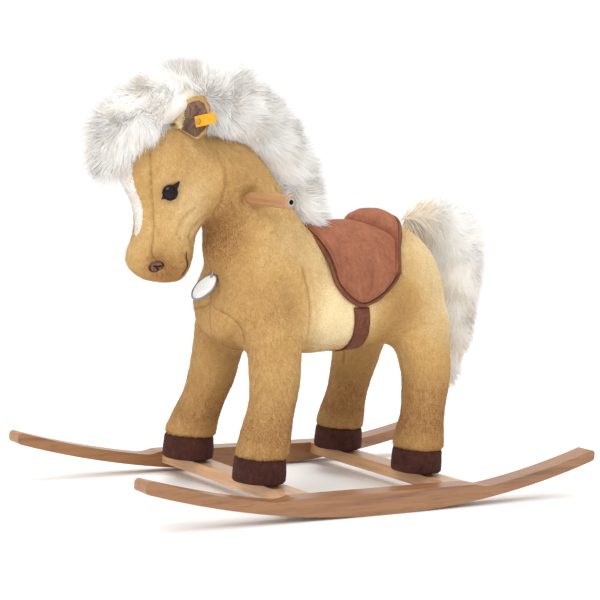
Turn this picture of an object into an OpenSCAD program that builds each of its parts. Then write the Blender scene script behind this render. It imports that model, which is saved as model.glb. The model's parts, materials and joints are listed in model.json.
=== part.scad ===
// Plush rocking horse on two beech rockers.
// Millimetres. The horse faces -Y, its left side is +X and +Z is up.
// The origin is on the floor, midway between the rockers and their ends.

/* [Rockers and slats] */
// Length of each rocker from end to end
rocker_length = 924; // [900:2:940]
// Radius of the curve that rolls on the floor
rocker_radius = 1700; // [1500:20:2000]
// Thickness of a rocker across the horse
rocker_thick = 34; // [30:1:38]
// Height of the bent band towards its ends
band_height = 20; // [18:0.5:22]
// Height of the flat platform above the floor
platform_top = 38; // [37:0.5:39]
// Distance between the middles of the two rockers
rocker_pitch = 411; // [400:1:430]
// Width of a cross slat along the horse
slat_width = 42; // [40:1:46]
// Thickness of a cross slat
slat_thick = 20; // [18:0.5:20]
// Distance of each slat's middle from the rockers' middle
slat_offset = 161; // [158:1:164]

/* [Legs and hooves] */
// Distance of a front hoof's middle from the middle plane
front_hoof_x = 107; // [105:1:109]
// Distance of a hind hoof's middle from the middle plane
hind_hoof_x = 111; // [109:1:113]
// Radius of a hoof
hoof_radius = 43.5; // [43:0.5:45]
// Height of a hoof
hoof_height = 40; // [38:1:42]
// Thickness of the felt pad under a hoof
felt_thick = 5; // [4:0.5:6]

/* [Handle] */
// Radius of a wooden hand grip
grip_radius = 11; // [10.5:0.5:12]
// Distance of a grip's free end from the middle plane
grip_reach = 172; // [160:2:190]
// Height of the handle above the floor
handle_z = 494; // [490:1:498]

/* [Inner frame] */
// Outer radius of the round steel tubes
tube_radius = 11; // [10:0.5:11]
// Wall of every steel tube
tube_wall = 2; // [1.5:0.25:2.5]
// Width of the square spine tube
spine_size = 25; // [22:1:26]
// Thickness of the plywood seat board
board_thick = 12; // [9:1:14]

/* [Cover and stuffing] */
// Thickness of the plush cover with its wadding
skin = 7; // [5:0.5:8]
// Thickness of the saddle's base pad
pad_thick = 5; // [4:0.5:6]
// Thickness of the saddle's seat and flaps
flap_thick = 7; // [6:0.5:9]
// Width of the girth strap
girth_width = 34; // [28:1:40]

/* [Small pieces] */
// Radius of a glass eye
eye_radius = 11.5; // [10:0.5:13]
// Diameter of the round chest tag
tag_diameter = 55; // [50:1:58]

/* [Hidden] */
$fn = 48;

far = 1000;
gap = 0.3;
slat_end = rocker_pitch / 2 - rocker_thick / 2;
slat_bottom = platform_top - slat_thick;
hoof_bottom = platform_top + felt_thick;
hoof_top = hoof_bottom + hoof_height;

// Wood, cloth and metal colours
beech = "#c99b6d";
plush = "#cfa468";
suede = "#9a6245";
hoof_suede = "#4a2a22";
fur = "#e9e6df";
steel = "#9aa0a6";

// ---------------------------------------------------------------- lofts
// A station is [x, y, z, tilt, half width, front, back, taper]: its ring lies in the plane of
// the X axis and of a direction turned by tilt from +Y towards +Z. Front and back are the
// ring's reach against and along that direction. A taper above 0 widens the ring towards its
// back and narrows its front, and one below 0 fills out its front half alone.

function spline(p, t) = let (last = len(p) - 1, u = min(max(t, 0), 1) * last,
    i = min(floor(u), last - 1), f = u - i, a = p[max(i - 1, 0)], b = p[i], c = p[i + 1],
    d = p[min(i + 2, last)])
    0.5 * (2 * b + (c - a) * f + (2 * a - 5 * b + 4 * c - d) * f * f
        + (3 * b - a - 3 * c + d) * f * f * f);

function round_end(t, reach) = reach <= 0 || t >= reach ? 1 : sqrt(1 - pow(1 - t / reach, 2));

function ring(s, scale_by, grow, sides) = [for (k = [0 : sides - 1])
    let (a = 360 * k / sides, q = sin(a),
        r = max((q > 0 ? s[6] : s[5]) * scale_by + grow, 0.5),
        w = max(s[4] * scale_by * (1 + s[7] * (s[7] < 0 ? min(q, 0) : q)) + grow, 0.5))
    [s[0] + w * cos(a), s[1] + r * q * cos(s[3]), s[2] + r * q * sin(s[3])]];

// caps: the share of the loft's length that rounds off at its first and last end
// trim: the share that is left off at each end, for a shape inside another
module loft(stations, rings, sides, caps = [0, 0], grow = 0, trim = 0) {
    steps = [for (i = [0 : rings]) trim + (1 - 2 * trim) * (1 - cos(180 * i / rings)) / 2];
    first = caps[0] > 0 ? 1 : 0;
    last = caps[1] > 0 ? rings - 1 : rings;
    loops = [for (i = [first : last]) let (t = steps[i])
        ring(spline(stations, t), round_end(t, caps[0]) * round_end(1 - t, caps[1]), grow, sides)];
    ends = [for (t = [steps[0], steps[rings]]) let (s = spline(stations, t)) [s[0], s[1], s[2]]];
    count = len(loops);
    pole = count * sides;
    polyhedron([for (loop = loops) each loop, each ends], [
        for (i = [0 : count - 2]) for (k = [0 : sides - 1])
            let (n = (k + 1) % sides, a = i * sides)
            each [[a + k, a + sides + n, a + n], [a + k, a + sides + k, a + sides + n]],
        for (k = [0 : sides - 1]) each [[pole, k, (k + 1) % sides],
            [pole + 1, pole - sides + (k + 1) % sides, pole - sides + k]]]);
}

// Joins and cuts lofts into one closed mesh
module one_mesh() {
    resize([0, 0, 0]) children();
}

// A child on the left side and its mirror image on the right
module both_sides() {
    children();
    mirror([1, 0, 0]) children();
}

// A round bar between two points
module bar(from, to, r, fn = 48) {
    d = to - from;
    translate(from)
        rotate([0, acos(d[2] / norm(d)), atan2(d[1], d[0])])
            cylinder(h = norm(d), r = r, $fn = fn);
}

// ---------------------------------------------------------------- body shapes
torso_stations = [
    [0, 238, 324, 90, 92, 76, 82, 0],
    [0, 212, 338, 90, 94, 84, 95, -0.12],
    [0, 165, 349, 90, 104, 91, 109, -0.24],
    [0, 110, 347, 90, 105, 93, 110, -0.3],
    [0, 40, 345, 90, 104, 102, 105, -0.3],
    [0, -40, 344, 90, 104, 108, 101, -0.3],
    [0, -110, 340, 90, 102, 101, 105, -0.24],
    [0, -165, 331, 90, 94, 89, 98, -0.12],
    [0, -196, 323, 90, 81, 73, 80, 0],
    [0, -215, 320, 90, 68, 60, 66, 0],
    [0, -226, 318, 90, 56, 48, 54, 0]];

neck_stations = [
    [0, -84, 362, 60, 92, 100, 70, 0],
    [0, -118, 404, 50, 90, 114, 70, 0],
    [0, -150, 448, 42, 80, 100, 66, 0],
    [0, -182, 490, 40, 66, 74, 68, 0],
    [0, -222, 530, 36, 60, 76, 70, 0],
    [0, -262, 560, 30, 55, 72, 66, 0],
    [0, -290, 584, 24, 50, 66, 58, 0]];

head_stations = [
    [0, -322, 351, 0, 41, 46, 46, 0],
    [0, -325, 372, 0, 46, 52, 50, 0],
    [0, -326, 396, 0, 48, 55, 55, 0],
    [0, -323, 424, 0, 44, 54, 54, 0.06],
    [0, -317, 452, 0, 44, 57, 64, 0.14],
    [0, -314, 482, 0, 50, 72, 82, 0.16],
    [0, -314, 512, 0, 54, 92, 90, 0.1],
    [0, -316, 545, 0, 55, 100, 86, 0.04],
    [0, -314, 580, 0, 52, 88, 74, 0],
    [0, -306, 612, 0, 48, 70, 60, 0]];

front_leg_stations = [
    [front_hoof_x, -180, hoof_top, 0, 42, 42, 42, 0],
    [front_hoof_x, -177, hoof_top + 14, 0, 43, 43, 43, 0],
    [103, -170, 125, 0, 40, 40, 40, 0],
    [94, -155, 175, 0, 40, 39, 39, 0],
    [84, -149, 235, 0, 42, 44, 44, 0],
    [70, -146, 290, 0, 43, 54, 54, 0],
    [54, -144, 350, 0, 38, 52, 52, 0]];

hind_leg_stations = [
    [hind_hoof_x, 144, hoof_top, 0, 42, 42, 42, 0],
    [hind_hoof_x, 145, hoof_top + 14, 0, 43, 43, 43, 0],
    [109, 150, 130, 0, 39, 39, 39, 0],
    [105, 155, 165, 0, 39, 38, 39, 0],
    [99, 159, 205, 0, 42, 40, 44, 0],
    [86, 161, 250, 0, 46, 51, 47, 0],
    [66, 158, 300, 0, 46, 68, 64, 0],
    [46, 156, 350, 0, 42, 64, 60, 0]];

mane_stations = [
    [0, -22, 438, 40, 26, 20, 14, 0],
    [0, -46, 462, 42, 40, 30, 28, 0],
    [0, -70, 502, 38, 46, 36, 36, 0],
    [0, -98, 548, 38, 52, 40, 44, 0],
    [0, -140, 592, 50, 58, 44, 51, 0],
    [0, -190, 626, 70, 62, 46, 59, 0],
    [0, -240, 640, 86, 64, 48, 60, 0]];

forelock_stations = [
    [0, -240, 640, 86, 64, 48, 60, 0],
    [0, -290, 639, 98, 66, 46, 60, 0],
    [0, -345, 630, 112, 66, 46, 52, 0],
    [0, -390, 606, 130, 62, 44, 47, 0],
    [0, -417, 575, 150, 54, 36, 43, 0],
    [0, -424, 545, 165, 42, 26, 34, 0],
    [0, -424, 520, 170, 26, 16, 20, 0]];

tail_stations = [
    [0, 280, 166, 0, 26, 14, 12, 0],
    [0, 284, 205, 0, 41, 30, 23, 0],
    [0, 291, 262, 0, 47, 42, 34, 0],
    [0, 297, 320, 4, 48, 46, 42, 0],
    [0, 298, 380, 14, 48, 48, 46, 0],
    [0, 290, 430, 36, 46, 44, 48, 0],
    [0, 264, 464, 64, 40, 38, 44, 0],
    [0, 232, 474, 88, 32, 30, 34, 0]];

// The inner surface of a cover is a coarser loft than the outer one
module torso_shape(grow = 0, trim = 0, lift = 0) {
    loft([for (s = torso_stations) s + [0, 0, 0, 0, 0, 0, lift, 0]], 20, 26, [0.3, 0.06],
        grow, trim);
}

module torso_core() {
    loft(torso_stations, 13, 18, [0.3, 0.06], -skin, 0.02);
}

module neck_shape(grow = 0) {
    loft(neck_stations, 12, 24, [0, 0.3], grow);
}

module neck_core() {
    loft(neck_stations, 8, 16, [0, 0.3], -skin, 0.03);
}

module head_shape(grow = 0) {
    loft(head_stations, 18, 24, [0.14, 0.2], grow);
}

module head_core() {
    loft(head_stations, 11, 16, [0.14, 0.2], -skin, 0.03);
}

module leg_shape(stations, side) {
    scale([side, 1, 1]) loft(stations, 10, 20);
}

module leg_core(stations, side) {
    scale([side, 1, 1]) loft(stations, 6, 14, [0, 0], -skin);
}

// ---------------------------------------------------------------- frame places
bolt_y = [-165, 157];
bolt_x = [front_hoof_x, hind_hoof_x];
plate_radius = 17;
plate_bottom = hoof_bottom + 5;
plate_top = plate_bottom + 5;
cross_z = 345;
cross_y = [-142, 150];
cross_x = [62, 70];
spine_bottom = cross_z + tube_radius - 4;
spine_top = spine_bottom + spine_size;
spine_y = [-158, 176];
handle_y = -200;
neck_lean = 0.636;
socket_x = 44;
socket_radius = 9;
nut_length = 13;
nut_radius = 7;
rod_radius = 4;
bolt_radius = 4;
dock_y = 170;
dock_z = 470;
dock_radius = 25;

// Saddle places: the flaps' tip, the seam at the seat and the girth's middle
girth_top = 334;

function neck_tube_at(z) = [0, handle_y - neck_lean * (z - handle_z), z];
neck_tube_top = 562;

// Everything of the frame that the stuffing and the cover make room for
module frame_room() {
    r = tube_radius + 1;
    for (i = [0, 1]) leg_frame_bars(i, r, 2, r + 0.4, 16);
    translate([-spine_size / 2 - 1, spine_y[0] - 1, spine_bottom - 1])
        cube([spine_size + 2, spine_y[1] - spine_y[0] + 2, spine_size + 2]);
    bar(neck_tube_at(spine_top - 8), neck_tube_at(neck_tube_top + 1), r, 16);
    translate([-grip_reach - 8, handle_y, handle_z])
        rotate([0, 90, 0]) cylinder(h = 2 * grip_reach + 16, r = grip_radius + 1, $fn = 20);
    translate([-board_size[0] / 2 - 1, board_front - 1, spine_top - 1])
        cube([board_size[0] + 2, board_size[1] + 2, board_thick + 5]);
}

// ---------------------------------------------------------------- rockers and slats
step_from = 215;
step_to = 180;

function arc_z(y) = rocker_radius - sqrt(rocker_radius * rocker_radius - y * y);
function ease(t) = let (c = min(max(t, 0), 1)) c * c * (3 - 2 * c);
function top_z(y) = let (band = arc_z(y) + band_height)
    band + (platform_top - band) * ease((step_from - abs(y)) / (step_from - step_to));

// Side outline: the rolling curve below, the band and its platform above, rounded ends
module rocker_outline() {
    half = rocker_length / 2;
    nose = 7;
    offset(r = nose) offset(r = -nose) polygon([
        for (i = [-30 : 30]) [half * i / 30, arc_z(half * i / 30)],
        for (i = [60 : -1 : -60]) [half * i / 60, top_z(half * i / 60)]]);
}

module rocker(side) {
    x = side * rocker_pitch / 2 - rocker_thick / 2;
    color(beech) difference() {
        translate([x, 0, 0])
            rotate([90, 0, 90]) linear_extrude(rocker_thick) rocker_outline();
        dowels();
    }
}

dowel_radius = 5;
dowel_spread = 12;
dowel_depth = 20;

module dowels() {
    z = platform_top - slat_thick / 2;
    both_sides() for (y = [-slat_offset, slat_offset], d = [-dowel_spread, dowel_spread])
        translate([slat_end - dowel_depth, y + d, z])
            rotate([0, 90, 0]) cylinder(h = 2 * dowel_depth, r = dowel_radius);
}

washer_bottom = slat_bottom + 6;
washer_thick = 1.5;

module slat(y, i) {
    color(beech) difference() {
        translate([-slat_end, y - slat_width / 2, slat_bottom])
            cube([2 * slat_end, slat_width, slat_thick]);
        dowels();
        both_sides() translate([bolt_x[i], bolt_y[i], 0]) {
            cylinder(h = far, r = bolt_radius + 0.2);
            cylinder(h = washer_bottom + washer_thick, r = 8.6);
        }
    }
}

module at_bolts() {
    both_sides() for (i = [0, 1]) translate([bolt_x[i], bolt_y[i], 0]) children();
}

module leg_bolts() {
    head = 5.5;
    color(steel) at_bolts() difference() {
        union() {
            translate([0, 0, washer_bottom - head]) cylinder(h = head, r = 6.5);
            translate([0, 0, washer_bottom - 1]) cylinder(h = plate_top + 10 - washer_bottom,
                r = bolt_radius);
        }
        translate([0, 0, washer_bottom - head - 1]) cylinder(h = 4, r = 3, $fn = 6);
    }
}

module leg_washers() {
    color(steel) at_bolts() translate([0, 0, washer_bottom]) difference() {
        cylinder(h = washer_thick, r = 8);
        translate([0, 0, -1]) cylinder(h = 4, r = bolt_radius + 0.2);
    }
}

// Felt between each hoof and its slat
module felt_pads() {
    color("#2a2625") at_bolts() translate([0, 0, platform_top]) difference() {
        cylinder(h = felt_thick, r = 19);
        translate([0, 0, -1]) cylinder(h = far, r = bolt_radius + 0.2);
    }
}

// ---------------------------------------------------------------- inner frame
module foot_plates() {
    color(steel) at_bolts() translate([0, 0, plate_bottom]) difference() {
        cylinder(h = plate_top - plate_bottom, r = plate_radius);
        translate([0, 0, -1]) cylinder(h = 8, r = bolt_radius + 0.1);
    }
}

// Two legs that rise from their foot plates and lean in to a cross tube. low: how far
// the legs start below the plates' top. ball: radius of the rounded corners
module leg_frame_bars(i, r, low, ball, fn = 48) {
    knee = [bolt_x[i], bolt_y[i], plate_top + 14];
    corner = [cross_x[i], cross_y[i], cross_z];
    both_sides() {
        translate([knee[0], knee[1], plate_top - low])
            cylinder(h = knee[2] - plate_top + low, r = r, $fn = fn);
        bar(knee, corner, r, fn);
        for (p = [knee, corner]) translate(p) sphere(r = ball, $fn = fn);
    }
    translate([-cross_x[i], cross_y[i], cross_z])
        rotate([0, 90, 0]) cylinder(h = 2 * cross_x[i], r = r, $fn = fn);
}

module leg_frame(i) {
    color(steel) difference() {
        leg_frame_bars(i, tube_radius, 0, tube_radius + 0.6);
        leg_frame_bars(i, tube_radius - tube_wall, 1, tube_radius - tube_wall + 0.3);
    }
}

board_front = -48;
board_size = [140, 160];
screw_places = [for (x = [-6, 6], y = [board_front + 20, board_front + 140]) [x, y]];

module spine_tube() {
    inner = spine_size - 2 * tube_wall;
    length = spine_y[1] - spine_y[0];
    color(steel) difference() {
        translate([-spine_size / 2, spine_y[0], spine_bottom]) cube([spine_size, length,
            spine_size]);
        translate([-inner / 2, spine_y[0] - 1, spine_bottom + tube_wall])
            cube([inner, length + 2, inner]);
        for (i = [0, 1])
            translate([-far / 2, cross_y[i], cross_z]) rotate([0, 90, 0])
                cylinder(h = far, r = tube_radius + 0.1);
        for (p = screw_places) translate([p[0], p[1], spine_top - 5]) cylinder(h = 10, r = 2.1);
    }
}

module neck_tube() {
    color(steel) difference() {
        bar(neck_tube_at(spine_top - 14), neck_tube_at(neck_tube_top), tube_radius);
        bar(neck_tube_at(spine_top - 20), neck_tube_at(neck_tube_top + 5), tube_radius
            - tube_wall);
        translate([-spine_size, spine_y[0], spine_bottom]) cube([2 * spine_size, far,
            spine_size]);
        translate([-far / 2, handle_y, handle_z]) rotate([0, 90, 0])
            cylinder(h = far, r = socket_radius + 0.1);
    }
}

module along_handle(from, to, r, fn = 48) {
    translate([from, handle_y, handle_z]) rotate([0, 90, 0])
        cylinder(h = to - from, r = r, $fn = fn);
}

module handle_socket() {
    color(steel) difference() {
        along_handle(-socket_x, socket_x, socket_radius);
        along_handle(-far / 2, far / 2, rod_radius + 0.1);
    }
}

module handle_rod() {
    tip = grip_reach - 3;
    color("#55585c") difference() {
        along_handle(-tip, tip, rod_radius);
        both_sides() along_handle(tip - 3, tip + 1, 2, 6);
    }
}

// A turned beech grip: a thinner neck inside the cover, rounded edges at its free end
module left_grip() {
    length = grip_reach - socket_x;
    edge = 3;
    shoulder = 24;
    color(beech) difference() {
        translate([socket_x, handle_y, handle_z]) rotate([0, 90, 0]) rotate_extrude()
            polygon([[0, 0], [grip_radius - 1.5, 0], [grip_radius - 1.5, shoulder],
                [grip_radius, shoulder],
                for (a = [0 : 15 : 90]) [grip_radius - edge + edge * cos(a),
                    length - edge + edge * sin(a)], [0, length]]);
        along_handle(socket_x - 1, far, rod_radius + 0.2);
        along_handle(grip_reach - nut_length, far, nut_radius + 0.1);
    }
}

module right_grip() {
    mirror([1, 0, 0]) left_grip();
}

module grip_sleeve_nuts() {
    color("#c8ccd0") both_sides() difference() {
        along_handle(grip_reach - nut_length, grip_reach - 0.5, nut_radius);
        along_handle(0, far, rod_radius + 0.05);
    }
}

module seat_board() {
    color("#d8b98a") difference() {
        translate([-board_size[0] / 2, board_front, spine_top])
            cube([board_size[0], board_size[1], board_thick]);
        for (p = screw_places) translate([p[0], p[1], spine_top - 1])
            cylinder(h = board_thick + 2, r = 2.2);
    }
}

module seat_board_screws() {
    color(steel) for (p = screw_places) translate([p[0], p[1], spine_top - 6]) {
        cylinder(h = board_thick + 6, r = 2);
        translate([0, 0, board_thick + 6]) cylinder(h = 3, r = 4);
    }
}

// ---------------------------------------------------------------- plush covers and stuffing
module dock_room() {
    translate([0, dock_y, dock_z]) {
        rotate([-90, 0, 0]) cylinder(h = 200, r = dock_radius + 2, $fn = 28);
        sphere(r = dock_radius + 2, $fn = 28);
    }
}

module torso_cover() {
    color(plush) one_mesh() difference() {
        torso_shape();
        torso_core();
        neck_shape();
        frame_room();
        dock_room();
    }
}

module torso_filling() {
    color("white") one_mesh() difference() {
        torso_core();
        neck_shape();
        frame_room();
        dock_room();
    }
}

module neck_cover() {
    color(plush) one_mesh() difference() {
        neck_shape();
        neck_core();
        head_shape();
        frame_room();
    }
}

module neck_filling() {
    color("white") one_mesh() difference() {
        neck_core();
        head_shape();
        frame_room();
    }
}

module head_cover() {
    color(plush) one_mesh() difference() {
        head_shape();
        head_core();
        frame_room();
        eye_room();
    }
}

module head_filling() {
    color("white") one_mesh() difference() {
        head_core();
        frame_room();
        eye_room();
    }
}

module leg_cover(stations, side) {
    color(plush) one_mesh() difference() {
        leg_shape(stations, side);
        leg_core(stations, side);
        torso_shape();
        neck_shape();
        frame_room();
    }
}

module leg_fillings() {
    color("white") one_mesh() difference() {
        for (side = [1, -1]) {
            leg_core(front_leg_stations, side);
            leg_core(hind_leg_stations, side);
        }
        torso_shape();
        neck_shape();
        frame_room();
    }
}

// A hoof: a stiff base in suede, hollow above for the foot of the leg frame
module hoof(front, side) {
    x = (front ? front_hoof_x : hind_hoof_x);
    i = front ? 0 : 1;
    y = front ? -182 : 143;
    bulge = 4;
    color(hoof_suede) difference() {
        translate([side * x, y, hoof_bottom]) rotate_extrude() polygon([[0, 0],
            for (a = [-90 : 15 : 0]) [hoof_radius - bulge + bulge * cos(a),
                bulge + bulge * sin(a)],
            [hoof_radius - 1.5, hoof_height - 3], [hoof_radius - 3.5, hoof_height],
            [0, hoof_height]]);
        translate([side * bolt_x[i], bolt_y[i], 0]) {
            cylinder(h = far, r = bolt_radius + 0.2);
            translate([0, 0, plate_bottom]) cylinder(h = far, r = plate_radius + 0.3);
        }
    }
}

// ---------------------------------------------------------------- head details
eye_place = [50, -345, 496];
eye_turn = 62;

module at_eye() {
    translate(eye_place) rotate([0, 90, -90 + eye_turn]) children();
}

module eye_room() {
    both_sides() at_eye() {
        translate([0, 0, -24]) cylinder(h = 30, r = 4, $fn = 16);
        translate([0, 0, -18]) cylinder(h = 5, r = 10, $fn = 20);
        translate([0, 0, -4.5]) cylinder(h = 12, r = eye_radius + 0.6, $fn = 24);
    }
}

// A glass eye: a domed button on a stem, held inside the head by a washer
module left_eye() {
    dome = 5;
    color("#15110f") at_eye() {
        translate([0, 0, -4]) cylinder(h = 3, r = eye_radius);
        translate([0, 0, -1]) rotate_extrude() polygon([[0, 0],
            for (a = [0 : 10 : 90]) [eye_radius * cos(a), dome * sin(a)]]);
        translate([0, 0, -22]) cylinder(h = 19, r = 2.5);
    }
}

module eye_washers() {
    color("#dddddd") both_sides() at_eye() translate([0, 0, -17]) difference() {
        cylinder(h = 3, r = 9);
        translate([0, 0, -1]) cylinder(h = 5, r = 2.6);
    }
}

// White plush let into the front of the face
module blaze() {
    color(fur) one_mesh() intersection() {
        difference() {
            head_shape(2.5);
            head_shape(gap);
        }
        loft([[3, -380, 428, 0, 6, 60, 40, 0], [3, -390, 470, 0, 13, 60, 40, 0],
            [3, -400, 520, 0, 19, 60, 40, 0], [3, -400, 552, 0, 21, 60, 40, 0]], 8, 12, [0, 0]);
    }
}

ear_root = [52, -322, 588];
ear_lean = 24;
ear_turn = 28;

module at_ear() {
    translate(ear_root) rotate([0, 0, ear_turn]) rotate([0, ear_lean, 0]) children();
}

ear_stations = [
    [0, 0, 0, 0, 21, 9, 9, 0],
    [0, 0, 18, 0, 30, 10, 11, 0],
    [0, 2, 38, 0, 28, 8, 9, 0],
    [0, 3, 55, 0, 18, 5, 6, 0],
    [0, 3, 64, 0, 8, 3, 3, 0]];

// The head, with a gap, at every angle that the flopping ear meets it
ear_swing = 12;

module head_past_ear() {
    for (a = [-ear_swing, 0, ear_swing])
        at_ear() rotate([a, 0, 0]) from_ear() head_shape(0.6);
}

module from_ear() {
    rotate([0, -ear_lean, 0]) rotate([0, 0, -ear_turn]) translate(-ear_root) children();
}

module ear_solid(grow = 0) {
    at_ear() loft(ear_stations, 9, 16, [0.1, 0.3], grow);
}

// The hollow of the ear, which opens forwards and outwards
module ear_hollow(grow = 0) {
    at_ear() translate([0, -9, 6])
        loft([[0, 0, 0, 0, 12 + grow, 8, 8 + grow, 0], [0, 0, 16, 0, 23 + grow, 9, 9 + grow, 0],
            [0, 0, 32, 0, 20 + grow, 9, 8 + grow, 0], [0, 2, 48, 0, 9 + grow, 6, 5 + grow, 0]],
            8, 14, [0.2, 0.2]);
}

module left_ear() {
    color(plush) one_mesh() difference() {
        ear_solid();
        ear_hollow(1.5);
        head_past_ear();
        at_rivet() translate([0, 0, -14]) cylinder(h = 28, r = 2.4, $fn = 16);
    }
}

module left_ear_lining() {
    color("#8d7565") one_mesh() difference() {
        intersection() {
            ear_solid();
            ear_hollow(1.5);
        }
        ear_hollow();
        head_past_ear();
        at_rivet() translate([0, 0, -14]) cylinder(h = 28, r = 2.4, $fn = 16);
    }
}

rivet_place = [14, 0, 29];
tag_turn = 38;

module at_rivet() {
    at_ear() translate(rivet_place) rotate([90, 0, 0]) children();
}

module ear_rivet() {
    color("#c9a24a") at_rivet() {
        translate([0, 0, -13]) cylinder(h = 23, r = 2);
        translate([0, 0, 10]) cylinder(h = 1.5, r = 4.2);
        translate([0, 0, -14.5]) cylinder(h = 1.5, r = 4.2);
    }
}

module ear_tag() {
    color("#e3a51a") at_rivet() rotate([0, 0, tag_turn]) difference() {
        translate([-6, -8.5, 8.2]) cube([36, 17, 1]);
        translate([0, 0, 8]) cylinder(h = 2, r = 2.05);
    }
}

// ---------------------------------------------------------------- mane and tail
module mane() {
    color(fur) one_mesh() difference() {
        loft(mane_stations, 16, 24, [0.12, 0]);
        neck_shape(gap);
        head_shape(gap);
        torso_shape(pad_thick + flap_thick + 1, 0, 5);
        ear_clear();
    }
}

module forelock() {
    color(fur) one_mesh() difference() {
        loft(forelock_stations, 16, 24, [0, 0.2]);
        neck_shape(gap);
        head_shape(3);
        ear_clear();
    }
}

// Room for the ears as they flop
module ear_clear() {
    both_sides() hull() for (a = [-ear_swing - 2, 0, ear_swing + 2])
        at_ear() rotate([a, 0, 0]) from_ear() ear_solid(3.2);
}

// The rump and the room it sweeps past the swinging tail
module tail_clear() {
    difference() {
        for (swing = [-24, -12, 0, 12, 24])
            translate([0, 0, dock_z]) rotate([0, swing, 0]) translate([0, 0, -dock_z])
                torso_shape(1);
        translate([0, dock_y, dock_z]) {
            rotate([-90, 0, 0]) cylinder(h = 200, r = dock_radius + 1, $fn = 28);
            sphere(r = dock_radius + 1, $fn = 28);
        }
    }
}

module tail() {
    color(fur) one_mesh() difference() {
        union() {
            loft(tail_stations, 16, 22, [0.1, 0]);
            translate([0, dock_y, dock_z]) {
                rotate([-90, 0, 0]) cylinder(h = 80, r = dock_radius, $fn = 28);
                sphere(r = dock_radius, $fn = 28);
            }
        }
        tail_clear();
    }
}

// ---------------------------------------------------------------- saddle
// Side outline of the seat and flaps, down to the tip over the girth
module saddle_outline(grow) {
    offset(r = grow) polygon([[-68, 520], [-66, 440], [-58, 405], [-49, 366], [-26, 345],
        [0, girth_top], [22, 339], [44, 351], [66, 374], [71, 404], [71, 520]]);
}

// Side outline of the crescent cantle behind the seat
module cantle_outline() {
    polygon([[71.4, 376], [76, 376], [80, 402], [86, 425], [97, 448], [114, 468], [114, 520],
        [71.4, 520]]);
}

module across() {
    translate([-far / 2, 0, 0]) rotate([90, 0, 90]) linear_extrude(far) children();
}

module above(z) {
    translate([-far / 2, -far / 2, z]) cube([far, far, far]);
}

module saddle_pad() {
    color(suede) one_mesh() intersection() {
        difference() {
            torso_shape(pad_thick);
            torso_shape(gap);
            neck_shape(gap);
        }
        across() union() {
            saddle_outline(7);
            offset(r = 6) cantle_outline();
        }
    }
}

flap_split = 432;

module saddle_layer(lift) {
    intersection() {
        difference() {
            torso_shape(pad_thick + flap_thick, 0, lift);
            torso_shape(pad_thick);
            neck_shape(gap);
        }
        across() saddle_outline(0);
    }
}

module saddle_seat() {
    color(suede) one_mesh() intersection() {
        saddle_layer(3);
        above(flap_split);
    }
}

module saddle_flap(side) {
    color(suede) one_mesh() difference() {
        saddle_layer(3);
        above(flap_split);
        translate([side > 0 ? -far : 0, -far / 2, 0]) cube(far);
    }
}

module saddle_cantle() {
    color(suede) one_mesh() intersection() {
        difference() {
            torso_shape(pad_thick + 7, 0, 16);
            torso_shape(pad_thick);
        }
        across() cantle_outline();
    }
}

// Side outline of the girth, which leans back on its way down: [middle, height]
girth_line = [[1, girth_top - 9], [9, 290], [18, 265], [28, 250], [42, 230]];

module girth_outline() {
    half = girth_width / 2;
    last = len(girth_line) - 1;
    polygon([for (p = girth_line) [p[0] - half, p[1]],
        for (i = [last : -1 : 0]) [girth_line[i][0] + half, girth_line[i][1]]]);
}

module girth_strap() {
    color(suede) one_mesh() difference() {
        intersection() {
            torso_shape(3.5);
            across() girth_outline();
        }
        torso_shape(gap);
    }
}

// ---------------------------------------------------------------- chest tag
tag_place = [8, -226, 367];
tag_slope = 39;
loop_radius = 4.2;

module at_tag() {
    translate(tag_place) rotate([90 - tag_slope, 0, 0]) children();
}

// A blank enamelled disc with a metal rim, which hangs from the loop by its hole
module chest_tag() {
    r = tag_diameter / 2;
    hole = r - 4;
    color("#eeeeea") at_tag() translate([0, -loop_radius - hole, -1.2]) difference() {
        rotate_extrude() polygon([[0, 0], [r - 1, 0], [r, 1], [r, 2.5], [r - 1.5, 3],
            [r - 2.5, 2.4], [0, 2.4]]);
        translate([0, hole, -1]) cylinder(h = 5, r = 1.6);
    }
}

module chest_tag_loop() {
    color("#d8d2c4") at_tag() rotate([0, 90, 0])
        rotate_extrude() translate([loop_radius, 0]) circle(r = 0.8, $fn = 24);
}

rocker(1);  // rocker_left
rocker(-1);  // rocker_right
slat(-slat_offset, 0);  // front_slat
slat(slat_offset, 1);  // rear_slat
color("#b98a5a") dowels();  // slat_dowels
leg_bolts();
leg_washers();
felt_pads();
foot_plates();
leg_frame(0);  // front_leg_frame
leg_frame(1);  // hind_leg_frame
spine_tube();
neck_tube();
handle_socket();
handle_rod();
left_grip();
right_grip();
grip_sleeve_nuts();
seat_board();
seat_board_screws();
torso_cover();
torso_filling();
neck_cover();
neck_filling();
head_cover();
head_filling();
leg_cover(front_leg_stations, 1);  // front_left_leg
leg_cover(front_leg_stations, -1);  // front_right_leg
leg_cover(hind_leg_stations, 1);  // hind_left_leg
leg_cover(hind_leg_stations, -1);  // hind_right_leg
leg_fillings();
hoof(true, 1);  // front_left_hoof
hoof(true, -1);  // front_right_hoof
hoof(false, 1);  // hind_left_hoof
hoof(false, -1);  // hind_right_hoof
blaze();
mane();
forelock();
tail();
left_ear();
left_ear_lining();
mirror([1, 0, 0]) left_ear();  // right_ear
mirror([1, 0, 0]) left_ear_lining();  // right_ear_lining
ear_rivet();
ear_tag();
left_eye();
mirror([1, 0, 0]) left_eye();  // right_eye
eye_washers();
saddle_pad();
saddle_seat();
saddle_cantle();
saddle_flap(1);  // left_saddle_flap
saddle_flap(-1);  // right_saddle_flap
girth_strap();
chest_tag();
chest_tag_loop();
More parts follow.
